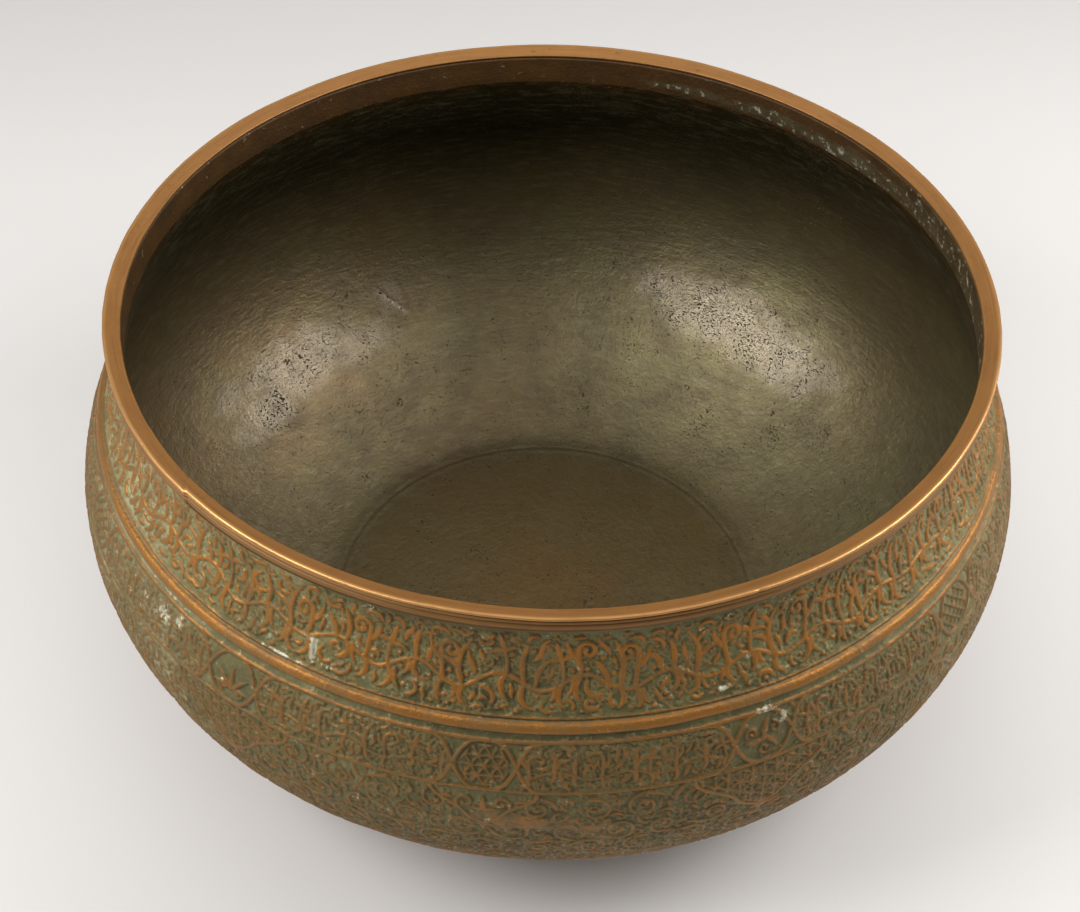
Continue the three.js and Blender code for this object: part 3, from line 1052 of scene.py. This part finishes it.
def make_lining():
    """The tin coat: hammer waves, the edge of the let-in base and an uneven top."""
    columns = INNER_COLUMNS
    angle = np.arange(columns) * 360 / columns
    top_run = float(np.interp(-(HEIGHT - LINING_DROP), -LINE_HEIGHT, LINE_RUN))
    run = np.concatenate([[top_run, top_run + 0.04], np.arange(top_run + INNER_STEP, BASE_RUN, INNER_STEP)])
    radius, height, out_r, out_z = on_wall(run)
    thick = WALL + 0.06 + 0.52 * smooth(run, top_run, top_run + 16)
    wall_r = radius - thick * out_r
    wall_z = height - thick * out_z
    floor_z = WALL + 0.58
    # the wall turns into the floor on a wide sweep
    keep = wall_z > floor_z + 0.02
    wall_r, wall_z, out_r, out_z = wall_r[keep], wall_z[keep], out_r[keep], out_z[keep]
    corner = wall_r[-1]
    wall_z = floor_z + 0.5 * ((wall_z - floor_z) + np.sqrt((wall_z - floor_z) ** 2 + FLOOR_SWEEP ** 2))
    floor_r = np.concatenate([np.arange(corner - INNER_STEP, 1.0, -INNER_STEP), [0.6, 0.25]])
    face_r = np.concatenate([wall_r, floor_r])
    settle = (wall_z[-1] - floor_z) * np.exp(-(corner - floor_r) / 5.0)
    face_z = np.concatenate([wall_z, floor_z + settle])
    normal_r = np.concatenate([out_r, np.zeros(len(floor_r))])
    normal_z = np.concatenate([out_z, np.full(len(floor_r), -1.0)])
    rng = random_for("lining")
    rows = len(face_r)
    still = ring_points(angle, face_r[:, None], face_z[:, None])
    waves = ((17.0, 0.07), (38.0, 0.17), (5.0, 0.01))
    facets = sum(ripples(still, size, rng) * deep for size, deep in waves)
    marks = hammer_marks(np.radians(angle), face_r, rng, HAMMER_BLOWS, (3.5, 7.5), (0.01, 0.07))
    bare = np.zeros(still.shape[:2])
    # the barer tin patches, whose lighter colour in the finish is partly painted highlight
    bare[:len(wall_r)] = patches(WORN_TIN_AND_SHEEN_PATCHES, angle, run[keep], rng, 0.3)
    facets += marks * (0.7 + 0.6 * bare)
    across = (angle - GOUGE[0] + 180) % 360 - 180
    along = run[keep][:, None] - GOUGE[1]
    aside = np.radians(across) * wall_r[:, None] + 0.75 * along
    gouge = np.exp(-(aside / 0.9) ** 2) * (1 - smooth(np.abs(along), 3.5, 6.5))
    facets[:len(wall_r)] += 0.12 * gouge
    bare[:len(wall_r)] = np.maximum(bare[:len(wall_r)], gouge)
    fade = smooth(np.arange(rows) * INNER_STEP, 1, 14)[:, None]
    fade = fade * (0.3 + 0.7 * smooth(face_z, floor_z, floor_z + 10))[:, None]
    seam = face_r - DISC_RADIUS - 0.4
    ring = 0.1 * np.exp(-(seam / 0.45) ** 2) - 0.07 * np.exp(-((seam + 1.1) / 0.7) ** 2)
    ring = np.where(face_z < 20, ring, 0)[:, None]
    lift = np.clip(facets, -0.7, 0.45) * fade + ring
    face = lifted(angle, face_r, face_z, lift, normal_r, normal_z)
    back_run = np.linspace(BASE_RUN, top_run, 40)
    b_r, b_z, b_or, b_oz = on_wall(back_run)
    back_r = b_r - (WALL + 0.02) * b_or
    back_z = b_z - (WALL + 0.02) * b_oz
    good = back_z > WALL + 0.2
    back_r = np.concatenate([[8.0, 40.0, back_r[good][0] - 2.0], back_r[good]])
    back_z = np.concatenate([np.full(3, WALL + 0.05), back_z[good]])
    rings = np.concatenate([ring_points(angle, back_r[:, None], back_z[:, None]), face])
    piece = put_mesh("tin_coat", *capped(rings))
    blank = np.zeros((len(back_r), columns))
    give_map(piece, "bare", np.concatenate([np.concatenate([blank, bare]).ravel(), [0, 0]]))
    return piece


def make_base():
    """The disc let into the foot: hammered underneath, with the raiser's centre mark."""
    angle = np.arange(BASE_COLUMNS) * 360 / BASE_COLUMNS
    rng = random_for("base")
    radius = np.concatenate([np.arange(1.2, DISC_RADIUS - 0.5, 0.8), [DISC_RADIUS - 0.4, DISC_RADIUS]])
    still = ring_points(angle, radius[:, None], np.zeros((1, 1)))
    dents = np.clip(np.abs(ripples(still, 9.0, rng)) * 0.22 + ripples(still, 3.5, rng) * 0.03, 0, 0.5)
    turned = 0.02 * np.cos(radius * 2 * math.pi / 3.2)[:, None]
    mark = 0.35 * np.exp(-(radius / 1.3) ** 2)[:, None]
    rim = smooth(radius, DISC_RADIUS - 1.5, DISC_RADIUS)[:, None]
    under = 0.1 + (dents + turned) * (1 - rim) + mark + 0.4 * rim
    top = ring_points(angle, np.array([[DISC_RADIUS], [30.0], [1.2]]), np.full((3, 1), WALL - 0.05))
    lower = still + np.stack([0 * under, 0 * under, under], -1)
    return put_mesh("hammered_base", *capped(np.concatenate([lower, top])))


# Finishes

def shade(code):
    """An sRGB hex colour as linear RGBA."""
    parts = [int(code[i:i + 2], 16) / 255 for i in (1, 3, 5)]
    return [c / 12.92 if c <= 0.04045 else ((c + 0.055) / 1.055) ** 2.4 for c in parts] + [1]


def cells(size):
    """The scale of a noise whose cells are about so many millimetres wide."""
    return 1 / (size * MM)


def add_node(tree, kind, inputs=None, output=0, **settings):
    """One node with its settings, values and links; it gives back the output that the next node takes."""
    made = tree.nodes.new("ShaderNode" + kind)
    for name, value in settings.items():
        setattr(made, name, value)
    for key, value in (inputs or {}).items():
        if isinstance(value, bpy.types.NodeSocket):
            tree.links.new(value, made.inputs[key])
        else:
            made.inputs[key].default_value = value
    return made.outputs[output]


def finish(name, build):
    """A material whose nodes are laid by build, which returns the shader's inputs."""
    material = bpy.data.materials.new(name)
    material.use_nodes = True
    tree = material.node_tree
    tree.nodes.clear()
    node = partial(add_node, tree)
    surface = tree.nodes.new("ShaderNodeOutputMaterial").inputs["Surface"]
    tree.links.new(node("BsdfPrincipled", build(node)), surface)
    return material


def coated(node, colour, *coats):
    """A colour under further coats, each laid on as its share says."""
    for share, coat in coats:
        colour = node("Mix", {"Factor": share, 6: colour, 7: shade(coat)}, 2, data_type="RGBA")
    return colour


def chased_copper(node):
    """Raised and chased copper: strokes rubbed to brown copper over an olive ground of old patina."""
    place = node("TexCoord", output="Object")
    names = ("edge", "tendril", "worn", "chalk", "chased", "ridge", "green", "neck")
    maps = {name: node("Attribute", attribute_name=name, output="Fac") for name in names}

    # the tooth of the chased sheet, specks of dirt and powder, blotches of patina, and broad changes of tone
    grain = node("TexNoise", {"Vector": place, "Scale": cells(0.769), "Detail": 3, "Roughness": 0.7})
    speck = node("TexNoise", {"Vector": place, "Scale": cells(2.38), "Detail": 4, "Roughness": 0.7})
    blotch = node("TexNoise", {"Vector": place, "Scale": cells(8.33), "Detail": 5, "Roughness": 0.62})
    broad = node("TexNoise", {"Vector": place, "Scale": cells(41.7), "Detail": 4, "Roughness": 0.6})
    ragged = node("Math", {0: speck, 1: 1.3, 2: maps["edge"]}, operation="MULTIPLY_ADD")
    top = node("MapRange", {"Value": ragged, "From Min": 0.48, "From Max": 0.92},
               interpolation_type="SMOOTHSTEP")
    # how near a spot lies to the foot of a stroke, for the dirt and painted shade laid there
    foot = node("MapRange", {"Value": maps["edge"], "From Min": -0.55, "From Max": -0.1})
    down = node("SeparateXYZ", {0: place}, output=2)
    low = node("MapRange",
               {"Value": down, "From Min": 88 * MM, "From Max": 99 * MM, "To Min": 0.5, "To Max": 0})

    # hands have rubbed the raised work bare in patches; the rest keeps a brown skin
    rubbed = node("MapRange", {"Value": blotch, "From Min": 0.38, "From Max": 0.6})
    rubbed = node("Math", {0: broad, 1: 1.2, 2: rubbed}, operation="MULTIPLY_ADD")
    rubbed = node("MapRange", {"Value": rubbed, "From Min": 0.45, "From Max": 1.15})
    handled = node("Math", {0: maps["ridge"], 1: 0.5}, operation="MULTIPLY")
    rubbed = node("Math", {0: rubbed, 1: handled}, operation="MAXIMUM")
    copper = coated(node, shade("#73552a"), (rubbed, "#9b682b"), (low, "#695433"))
    plain = coated(node, shade("#64502f"), (blotch, "#83653b"))

    # ground: olive in the hollows, grey green where verdigris has grown, paler at the sides partly as
    # painted light
    fresh = node("Math", {0: maps["green"], 1: 0.5, 2: broad}, operation="MULTIPLY_ADD")
    fresh = node("Math", {0: blotch, 1: 0.8, 2: fresh}, operation="MULTIPLY_ADD")
    fresh = node("MapRange", {"Value": fresh, "From Min": 0.72, "From Max": 1.5})
    patina = node("ValToRGB", {"Fac": fresh})
    ramp = patina.node.color_ramp.elements
    ramp[0].color = shade("#4f4824")
    ramp[1].color = shade("#aba47c")
    ramp.new(0.45).color = shade("#6f6a40")
    # the feet of the strokes are darkened as dirt and as painted shade where the raised work meets the
    # ground
    foot = node("Math", {0: speck, 1: 0.9, 2: foot}, operation="MULTIPLY_ADD")
    foot_dirt_and_shade = node("MapRange", {"Value": foot, "From Min": 0.35, "From Max": 1.5, "To Max": 0.54})
    tendril = node("Math", {0: maps["tendril"], 1: 0.7}, operation="MULTIPLY")
    fleck = node("MapRange", {"Value": speck, "From Min": 0.56, "From Max": 0.68, "To Max": 0.42})
    deep = node("Math", {0: low, 1: 0.5}, operation="MULTIPLY")
    ground = coated(node, patina, (foot_dirt_and_shade, "#392f16"), (tendril, "#806f40"), (fleck, "#a0a37f"),
                    (deep, "#4b4225"))
    ground = node("Mix", {"Factor": maps["chased"], 6: plain, 7: ground}, 2, data_type="RGBA")

    # copper shows on the tops, on the ridge and where the wall is worn
    bare = node("Math", {0: top, 1: maps["ridge"]}, operation="MAXIMUM")
    smeared = node("Math", {0: blotch, 1: 0.5, 2: maps["worn"]}, operation="MULTIPLY_ADD")
    smeared = node("MapRange", {"Value": smeared, "From Min": 0.45, "From Max": 1.3})
    bare = node("Math", {0: bare, 1: smeared}, operation="MAXIMUM")
    colour = node("Mix", {"Factor": bare, 6: ground, 7: copper}, 2, data_type="RGBA")

    # inside the neck the copper is dark brown under a film of grey dust, and chalky powder lies in specks
    film = node("Math", {0: blotch, 1: 0.5, 2: maps["chalk"]}, operation="MULTIPLY_ADD")
    film = node("MapRange", {"Value": film, "From Min": 0.3, "From Max": 0.95, "To Max": 0.85})
    neck = coated(node, shade("#251804"), (blotch, "#5c3b0c"), (film, "#54513a"))
    colour = node("Mix", {"Factor": maps["neck"], 6: colour, 7: neck}, 2, data_type="RGBA")
    powder = node("Math", {0: speck, 1: 4.0, 2: maps["chalk"]}, operation="MULTIPLY_ADD")
    powder = node("MapRange", {"Value": powder, "From Min": 2.6, "From Max": 3.15, "To Max": 0.95})
    colour = coated(node, colour, (powder, "#bfbda3"))
    shine = node("Math", {0: bare, 1: rubbed}, operation="MULTIPLY")
    metal = node("MapRange", {"Value": shine, "To Min": 0.3, "To Max": 0.7})
    rough = node("MapRange", {"Value": shine, "To Min": 0.6, "To Max": 0.48})
    tooth = node("Math", {0: speck, 1: 2.0, 2: grain}, operation="MULTIPLY_ADD")
    bump = node("Bump", {"Height": tooth, "Strength": 0.6, "Distance": 0.28 * MM})
    return {"Base Color": colour, "Metallic": metal, "Roughness": rough, "Normal": bump}


def rubbed_copper(node):
    """The rim strip: satin copper polished by handling, brown where fingers do not reach."""
    place = node("TexCoord", output="Object")
    sunk = node("Attribute", attribute_name="sunk", output="Fac")
    polish = node("Attribute", attribute_name="polish", output="Fac")

    # clouded copper, small dark spots, and the fine tooth of handled metal
    blotch = node("TexNoise", {"Vector": place, "Scale": cells(16.67), "Detail": 5, "Roughness": 0.65})
    speck = node("TexNoise", {"Vector": place, "Scale": cells(2.083), "Detail": 4, "Roughness": 0.7})
    grain = node("TexNoise", {"Vector": place, "Scale": cells(0.625), "Detail": 3})

    # faint streaks along the strip, left by drawing and burnishing it
    flat = node("VectorMath", {0: place, 1: (1, 1, 0)}, operation="MULTIPLY")
    radius = node("VectorMath", {0: flat}, operation="LENGTH", output="Value")
    across = node("Math", {0: radius, 1: 26.0}, operation="MULTIPLY")
    across = node("CombineXYZ", {2: across})
    along = node("VectorMath", {0: flat, 1: across}, operation="ADD")
    streak = node("TexNoise", {"Vector": along, "Scale": cells(18.18), "Detail": 4, "Roughness": 0.7})
    streak = node("MapRange", {"Value": streak, "From Min": 0.46, "From Max": 0.7, "To Max": 0.6})
    spots = node("MapRange", {"Value": speck, "From Min": 0.6, "From Max": 0.74})
    colour = coated(node, shade("#8a5c2d"), (blotch, "#a4743d"), (streak, "#7c5228"), (spots, "#85582a"),
                    (polish, "#bd8b52"), (sunk, "#684a20"))
    rough = node("MapRange", {"Value": sunk, "To Min": 0.46, "To Max": 0.6})
    rough = node("Math", {0: polish, 1: -0.1, 2: rough}, operation="MULTIPLY_ADD")
    metal = node("MapRange", {"Value": polish, "To Min": 0.45, "To Max": 0.65})
    tooth = node("Math", {0: speck, 1: 1.5, 2: grain}, operation="MULTIPLY_ADD")
    bump = node("Bump", {"Height": tooth, "Strength": 0.25, "Distance": 0.15 * MM})
    return {"Base Color": colour, "Metallic": metal, "Roughness": rough, "Normal": bump}


def aged_tin(node):
    """Hand wiped tin gone olive brown, with two barer pitted places lightened partly as painted highlight,
    painted shade up the wall, streaks, scratches and rusty dust.
    """
    place = node("TexCoord", output="Object")
    bare = node("Attribute", attribute_name="bare", output="Fac")

    # broad changes of tone, mottling, and specks of dirt
    broad = node("TexNoise", {"Vector": place, "Scale": cells(71.4), "Detail": 5, "Roughness": 0.6})
    blotch = node("TexNoise", {"Vector": place, "Scale": cells(16.67), "Detail": 5, "Roughness": 0.65})
    speck = node("TexNoise", {"Vector": place, "Scale": cells(2.38), "Detail": 4, "Roughness": 0.7})

    # browner to the left and greener to the right; painted shade darkens the tin up the wall, less so on the
    # right; brown at the neck
    side = node("SeparateXYZ", {0: place})
    level = node("SeparateXYZ", {0: place}, output=2)
    right = node("Math", {0: side, 1: 0.0}, operation="MAXIMUM")
    side = node("Math", {0: side, 1: 1.1, 2: broad}, operation="MULTIPLY_ADD")
    tin = node("ValToRGB", {"Fac": side})
    for stop, at, code in zip(tin.node.color_ramp.elements, (0.34, 0.66), ("#6b583c", "#6e6747")):
        stop.position = at
        stop.color = shade(code)
    mottle = node("MapRange", {"Value": blotch, "From Min": 0.4, "From Max": 0.62, "To Max": 0.6})
    # the barer places lightened: worn tin and painted highlight where the lamps' reflections fall
    edge = node("Math", {0: blotch, 1: 0.8, 2: bare}, operation="MULTIPLY_ADD")
    edge = node("MapRange", {"Value": edge, "From Min": 0.3, "From Max": 1.6, "To Max": 0.68})
    # painted shade: the enclosed upper wall is darkened in colour, less so on the right where more light
    # falls
    high = node("Math", {0: broad, 1: 0.03, 2: level}, operation="MULTIPLY_ADD")
    high = node("Math", {0: right, 1: -0.13, 2: high}, operation="MULTIPLY_ADD")
    high = node("MapRange", {"Value": high, "From Min": 70 * MM, "From Max": 112 * MM})
    neck = node("Math", {0: blotch, 1: 0.012, 2: level}, operation="MULTIPLY_ADD")
    neck = node("MapRange", {"Value": neck, "From Min": 116.5 * MM, "From Max": 121.5 * MM})

    # wiping left streaks that run round the bowl
    flat = node("VectorMath", {0: place, 1: (1, 1, 6)}, operation="MULTIPLY")
    streak = node("TexNoise", {"Vector": flat, "Scale": cells(7.69), "Detail": 5, "Roughness": 0.75})
    pale = node("MapRange", {"Value": streak, "From Min": 0.48, "From Max": 0.76, "To Max": 0.4})

    # the floor is browner, with rust-brown dust in its middle
    centre = node("VectorMath", {0: place, 1: (1, 1, 0)}, operation="MULTIPLY")
    centre = node("VectorMath", {0: centre}, operation="LENGTH", output="Value")
    floor = node("MapRange",
                 {"Value": centre, "From Min": 56 * MM, "From Max": 64 * MM, "To Min": 0.45, "To Max": 0})
    rust = node("Math", {0: speck, 1: -0.14, 2: centre}, operation="MULTIPLY_ADD")
    rust = node("MapRange",
                {"Value": rust, "From Min": -0.068, "From Max": -0.038, "To Min": 0.45, "To Max": 0})

    # short bent ticks bitten into the barer places, each edged with a painted glint
    bend = node("TexNoise", {"Vector": place, "Scale": cells(3.846), "Detail": 2}, output="Color")
    bend = node("VectorMath", {0: bend, 1: (0.0022, 0.0022, 0.0022), 2: place}, operation="MULTIPLY_ADD")
    bend = node("VectorMath", {0: bend, 1: (1, 1, 3)}, operation="MULTIPLY")
    pits = node("TexNoise", {"Vector": bend, "Scale": cells(0.87), "Detail": 3, "Roughness": 0.6})
    crowd = node("TexNoise", {"Vector": place, "Scale": cells(9.09), "Detail": 3, "Roughness": 0.7})
    crowd = node("Math", {0: bare, 1: 0.3, 2: crowd}, operation="MULTIPLY_ADD")
    crowd = node("MapRange", {"Value": crowd, "From Min": 0.44, "From Max": 0.8, "To Max": 0.15})
    pits = node("Math", {0: pits, 1: crowd}, operation="ADD")
    painted_glint = node("MapRange", {"Value": pits, "From Min": 0.56, "From Max": 0.67, "To Max": 0.6})
    painted_glint = node("Math", {0: painted_glint, 1: bare}, operation="MULTIPLY")
    pits = node("MapRange", {"Value": pits, "From Min": 0.69, "From Max": 0.735})

    # broken hair scratches
    hair = node("TexNoise", {"Vector": place, "Scale": cells(16.67), "Detail": 1, "Distortion": 1.2})
    hair = node("Math", {0: hair, 1: 0.5}, operation="SUBTRACT")
    hair = node("Math", {0: hair}, operation="ABSOLUTE")
    hair = node("MapRange",
                {"Value": hair, "From Min": 0.002, "From Max": 0.006, "To Min": 0.8, "To Max": 0})
    broken = node("MapRange", {"Value": speck, "From Min": 0.54, "From Max": 0.62})
    near = node("MapRange", {"Value": blotch, "From Min": 0.52, "From Max": 0.58})
    hair = node("Math", {0: hair, 1: broken}, operation="MULTIPLY")
    hair = node("Math", {0: hair, 1: near}, operation="MULTIPLY")
    marks = node("Math", {0: pits, 1: hair}, operation="MAXIMUM")
    # among these coats, edge is partly painted highlight, high is painted shade and the glints beside the
    # ticks are painted
    colour = coated(node, tin, (mottle, "#51452c"), (edge, "#86796a"), (high, "#292411"), (neck, "#3f290b"),
                    (pale, "#8b8163"), (floor, "#77633a"), (rust, "#765227"), (painted_glint, "#aa9e88"),
                    (marks, "#3f3621"))
    dull = node("MapRange",
                {"Value": blotch, "From Min": 0.3, "From Max": 0.7, "To Min": 0.36, "To Max": 0.48})
    dull = node("Math", {0: bare, 1: -0.09, 2: dull}, operation="MULTIPLY_ADD")
    dull = node("Math", {0: marks, 1: 0.3, 2: dull}, operation="MULTIPLY_ADD")
    tooth = node("TexNoise", {"Vector": place, "Scale": cells(2.38), "Detail": 5, "Roughness": 0.75})
    tooth = node("Math", {0: streak, 1: 0.6, 2: tooth}, operation="MULTIPLY_ADD")
    tooth = node("Math", {0: marks, 1: -1.0, 2: tooth}, operation="MULTIPLY_ADD")
    bump = node("Bump", {"Height": tooth, "Strength": 0.65, "Distance": 0.4 * MM})
    return {"Base Color": colour, "Metallic": 0.7, "Roughness": dull, "Normal": bump}


def sooted_copper(node):
    """The base: hammered copper with a brown skin, scuffed bright on its high spots."""
    place = node("TexCoord", output="Object")
    broad = node("TexNoise", {"Vector": place, "Scale": cells(33.3), "Detail": 5, "Roughness": 0.65})
    speck = node("TexNoise", {"Vector": place, "Scale": cells(2.38), "Detail": 4, "Roughness": 0.7})
    colour = coated(node, shade("#3d3122"), (broad, "#7d5a3a"))
    rough = node("MapRange", {"Value": broad, "To Min": 0.45, "To Max": 0.65})
    bump = node("Bump", {"Height": speck, "Strength": 0.4, "Distance": 0.2 * MM})
    return {"Base Color": colour, "Metallic": 0.7, "Roughness": rough, "Normal": bump}


def old_solder(node):
    """Old solder, dull and grainy, gone dark with age."""
    place = node("TexCoord", output="Object")
    speck = node("TexNoise", {"Vector": place, "Scale": cells(1.43), "Detail": 4, "Roughness": 0.7})
    colour = coated(node, shade("#3a3122"), (speck, "#5f5540"))
    bump = node("Bump", {"Height": speck, "Strength": 0.5, "Distance": 0.2 * MM})
    return {"Base Color": colour, "Metallic": 0.8, "Roughness": 0.5, "Normal": bump}


def pale_floor(node):
    """A plain pale studio floor."""
    return {"Base Color": shade("#d5d2cf"), "Roughness": 0.9, "Specular IOR Level": 0.2}


# Stage

def make_floor():
    """A wide flat floor."""
    size = 3000.0
    points = np.array([[-size, -size, 0], [size, -size, 0], [size, size, 0], [-size, size, 0]])
    floor = put_mesh("floor", points, np.array([[0, 1, 2, 3]]))
    floor.data.materials.append(finish("pale studio floor", pale_floor))


# The fitted camera: distance and height angle from the middle of the mouth, and its turns, in mm and degrees
CAMERA_DISTANCE = 455.8
CAMERA_ELEVATION = 38.68
CAMERA_PITCH = 44.45
CAMERA_YAW = -0.378
CAMERA_ROLL = 1.224
CAMERA_LENS = 58.31


def make_camera():
    """The photograph's viewpoint, from the fitted angles."""
    rise = math.radians(CAMERA_ELEVATION)
    pitch = math.radians(CAMERA_PITCH)
    yaw = math.radians(CAMERA_YAW)
    roll = math.radians(CAMERA_ROLL)
    place = Vector((0, -CAMERA_DISTANCE * math.cos(rise), CAMERA_DISTANCE * math.sin(rise) + HEIGHT)) * MM
    ahead = Vector((math.sin(yaw) * math.cos(pitch), math.cos(yaw) * math.cos(pitch), -math.sin(pitch)))
    right = Vector((math.cos(yaw), -math.sin(yaw), 0))
    up = right.cross(ahead)
    across = right * math.cos(roll) + up * math.sin(roll)
    upright = up * math.cos(roll) - right * math.sin(roll)
    turn = Matrix((across, upright, -ahead)).transposed()
    data = bpy.data.cameras.new("camera")
    data.lens = CAMERA_LENS
    data.sensor_width = 36
    data.sensor_fit = "HORIZONTAL"
    camera = bpy.data.objects.new("camera", data)
    camera.matrix_world = Matrix.Translation(place) @ turn.to_4x4()
    bpy.context.scene.collection.objects.link(camera)
    bpy.context.scene.camera = camera


# Lamps: azimuth and height angle in degrees, distance and size in metres, power in watts
LAMPS = (
    ("right soft box", 88, 36, 0.62, 0.34, 3.6),
    ("left soft box", -112, 39, 0.62, 0.34, 3.5),
    ("ceiling", 0, 90, 2.2, 4.0, 36),
)


def make_lamp(name, azimuth, elevation, distance, size, power):
    """A square soft box that faces the bowl; azimuth runs from the back, positive to the right."""
    data = bpy.data.lights.new(name, "AREA")
    data.shape = "SQUARE"
    data.size = size
    data.energy = power
    lamp = bpy.data.objects.new(name, data)
    a, e = math.radians(azimuth), math.radians(elevation)
    way = Vector((math.sin(a) * math.cos(e), math.cos(a) * math.cos(e), math.sin(e)))
    lamp.location = Vector((0, 0, BELLY_Z * MM)) + way * distance
    lamp.rotation_euler = way.to_track_quat("Z", "Y").to_euler()
    bpy.context.scene.collection.objects.link(lamp)


def make_world():
    """Even pale surroundings."""
    world = bpy.data.worlds.new("studio")
    world.use_nodes = True
    world.node_tree.nodes["Background"].inputs["Color"].default_value = shade("#f4f2f2")
    world.node_tree.nodes["Background"].inputs["Strength"].default_value = 0.18
    bpy.context.scene.world = world


def settle(piece, nodes, slot, material):
    """Dress a piece, seat it on the bowl and hide the frame parts it stands for; the slot is not used."""
    piece.data.materials.append(material)
    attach(piece, "root")
    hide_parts(*nodes)


bpy.context.scene.view_settings.view_transform = "Standard"
make_camera()
make_floor()
make_world()
for lamp in LAMPS:
    make_lamp(*lamp)
settle(make_wall(), ["bowl_wall"], "wall_copper", finish("chased copper", chased_copper))
settle(make_rim(), ["rim_band", "rim_solder", "rim_scarf_solder"], "rim_copper",
       finish("handled copper", rubbed_copper))
settle(make_lining(), ["tin_lining"], "tin", finish("aged tin coat", aged_tin))
settle(make_base(), ["base_disc"], "base_copper", finish("hammered copper", sooted_copper))
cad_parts["base_solder"].data.materials.clear()
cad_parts["base_solder"].data.materials.append(finish("soft solder", old_solder))
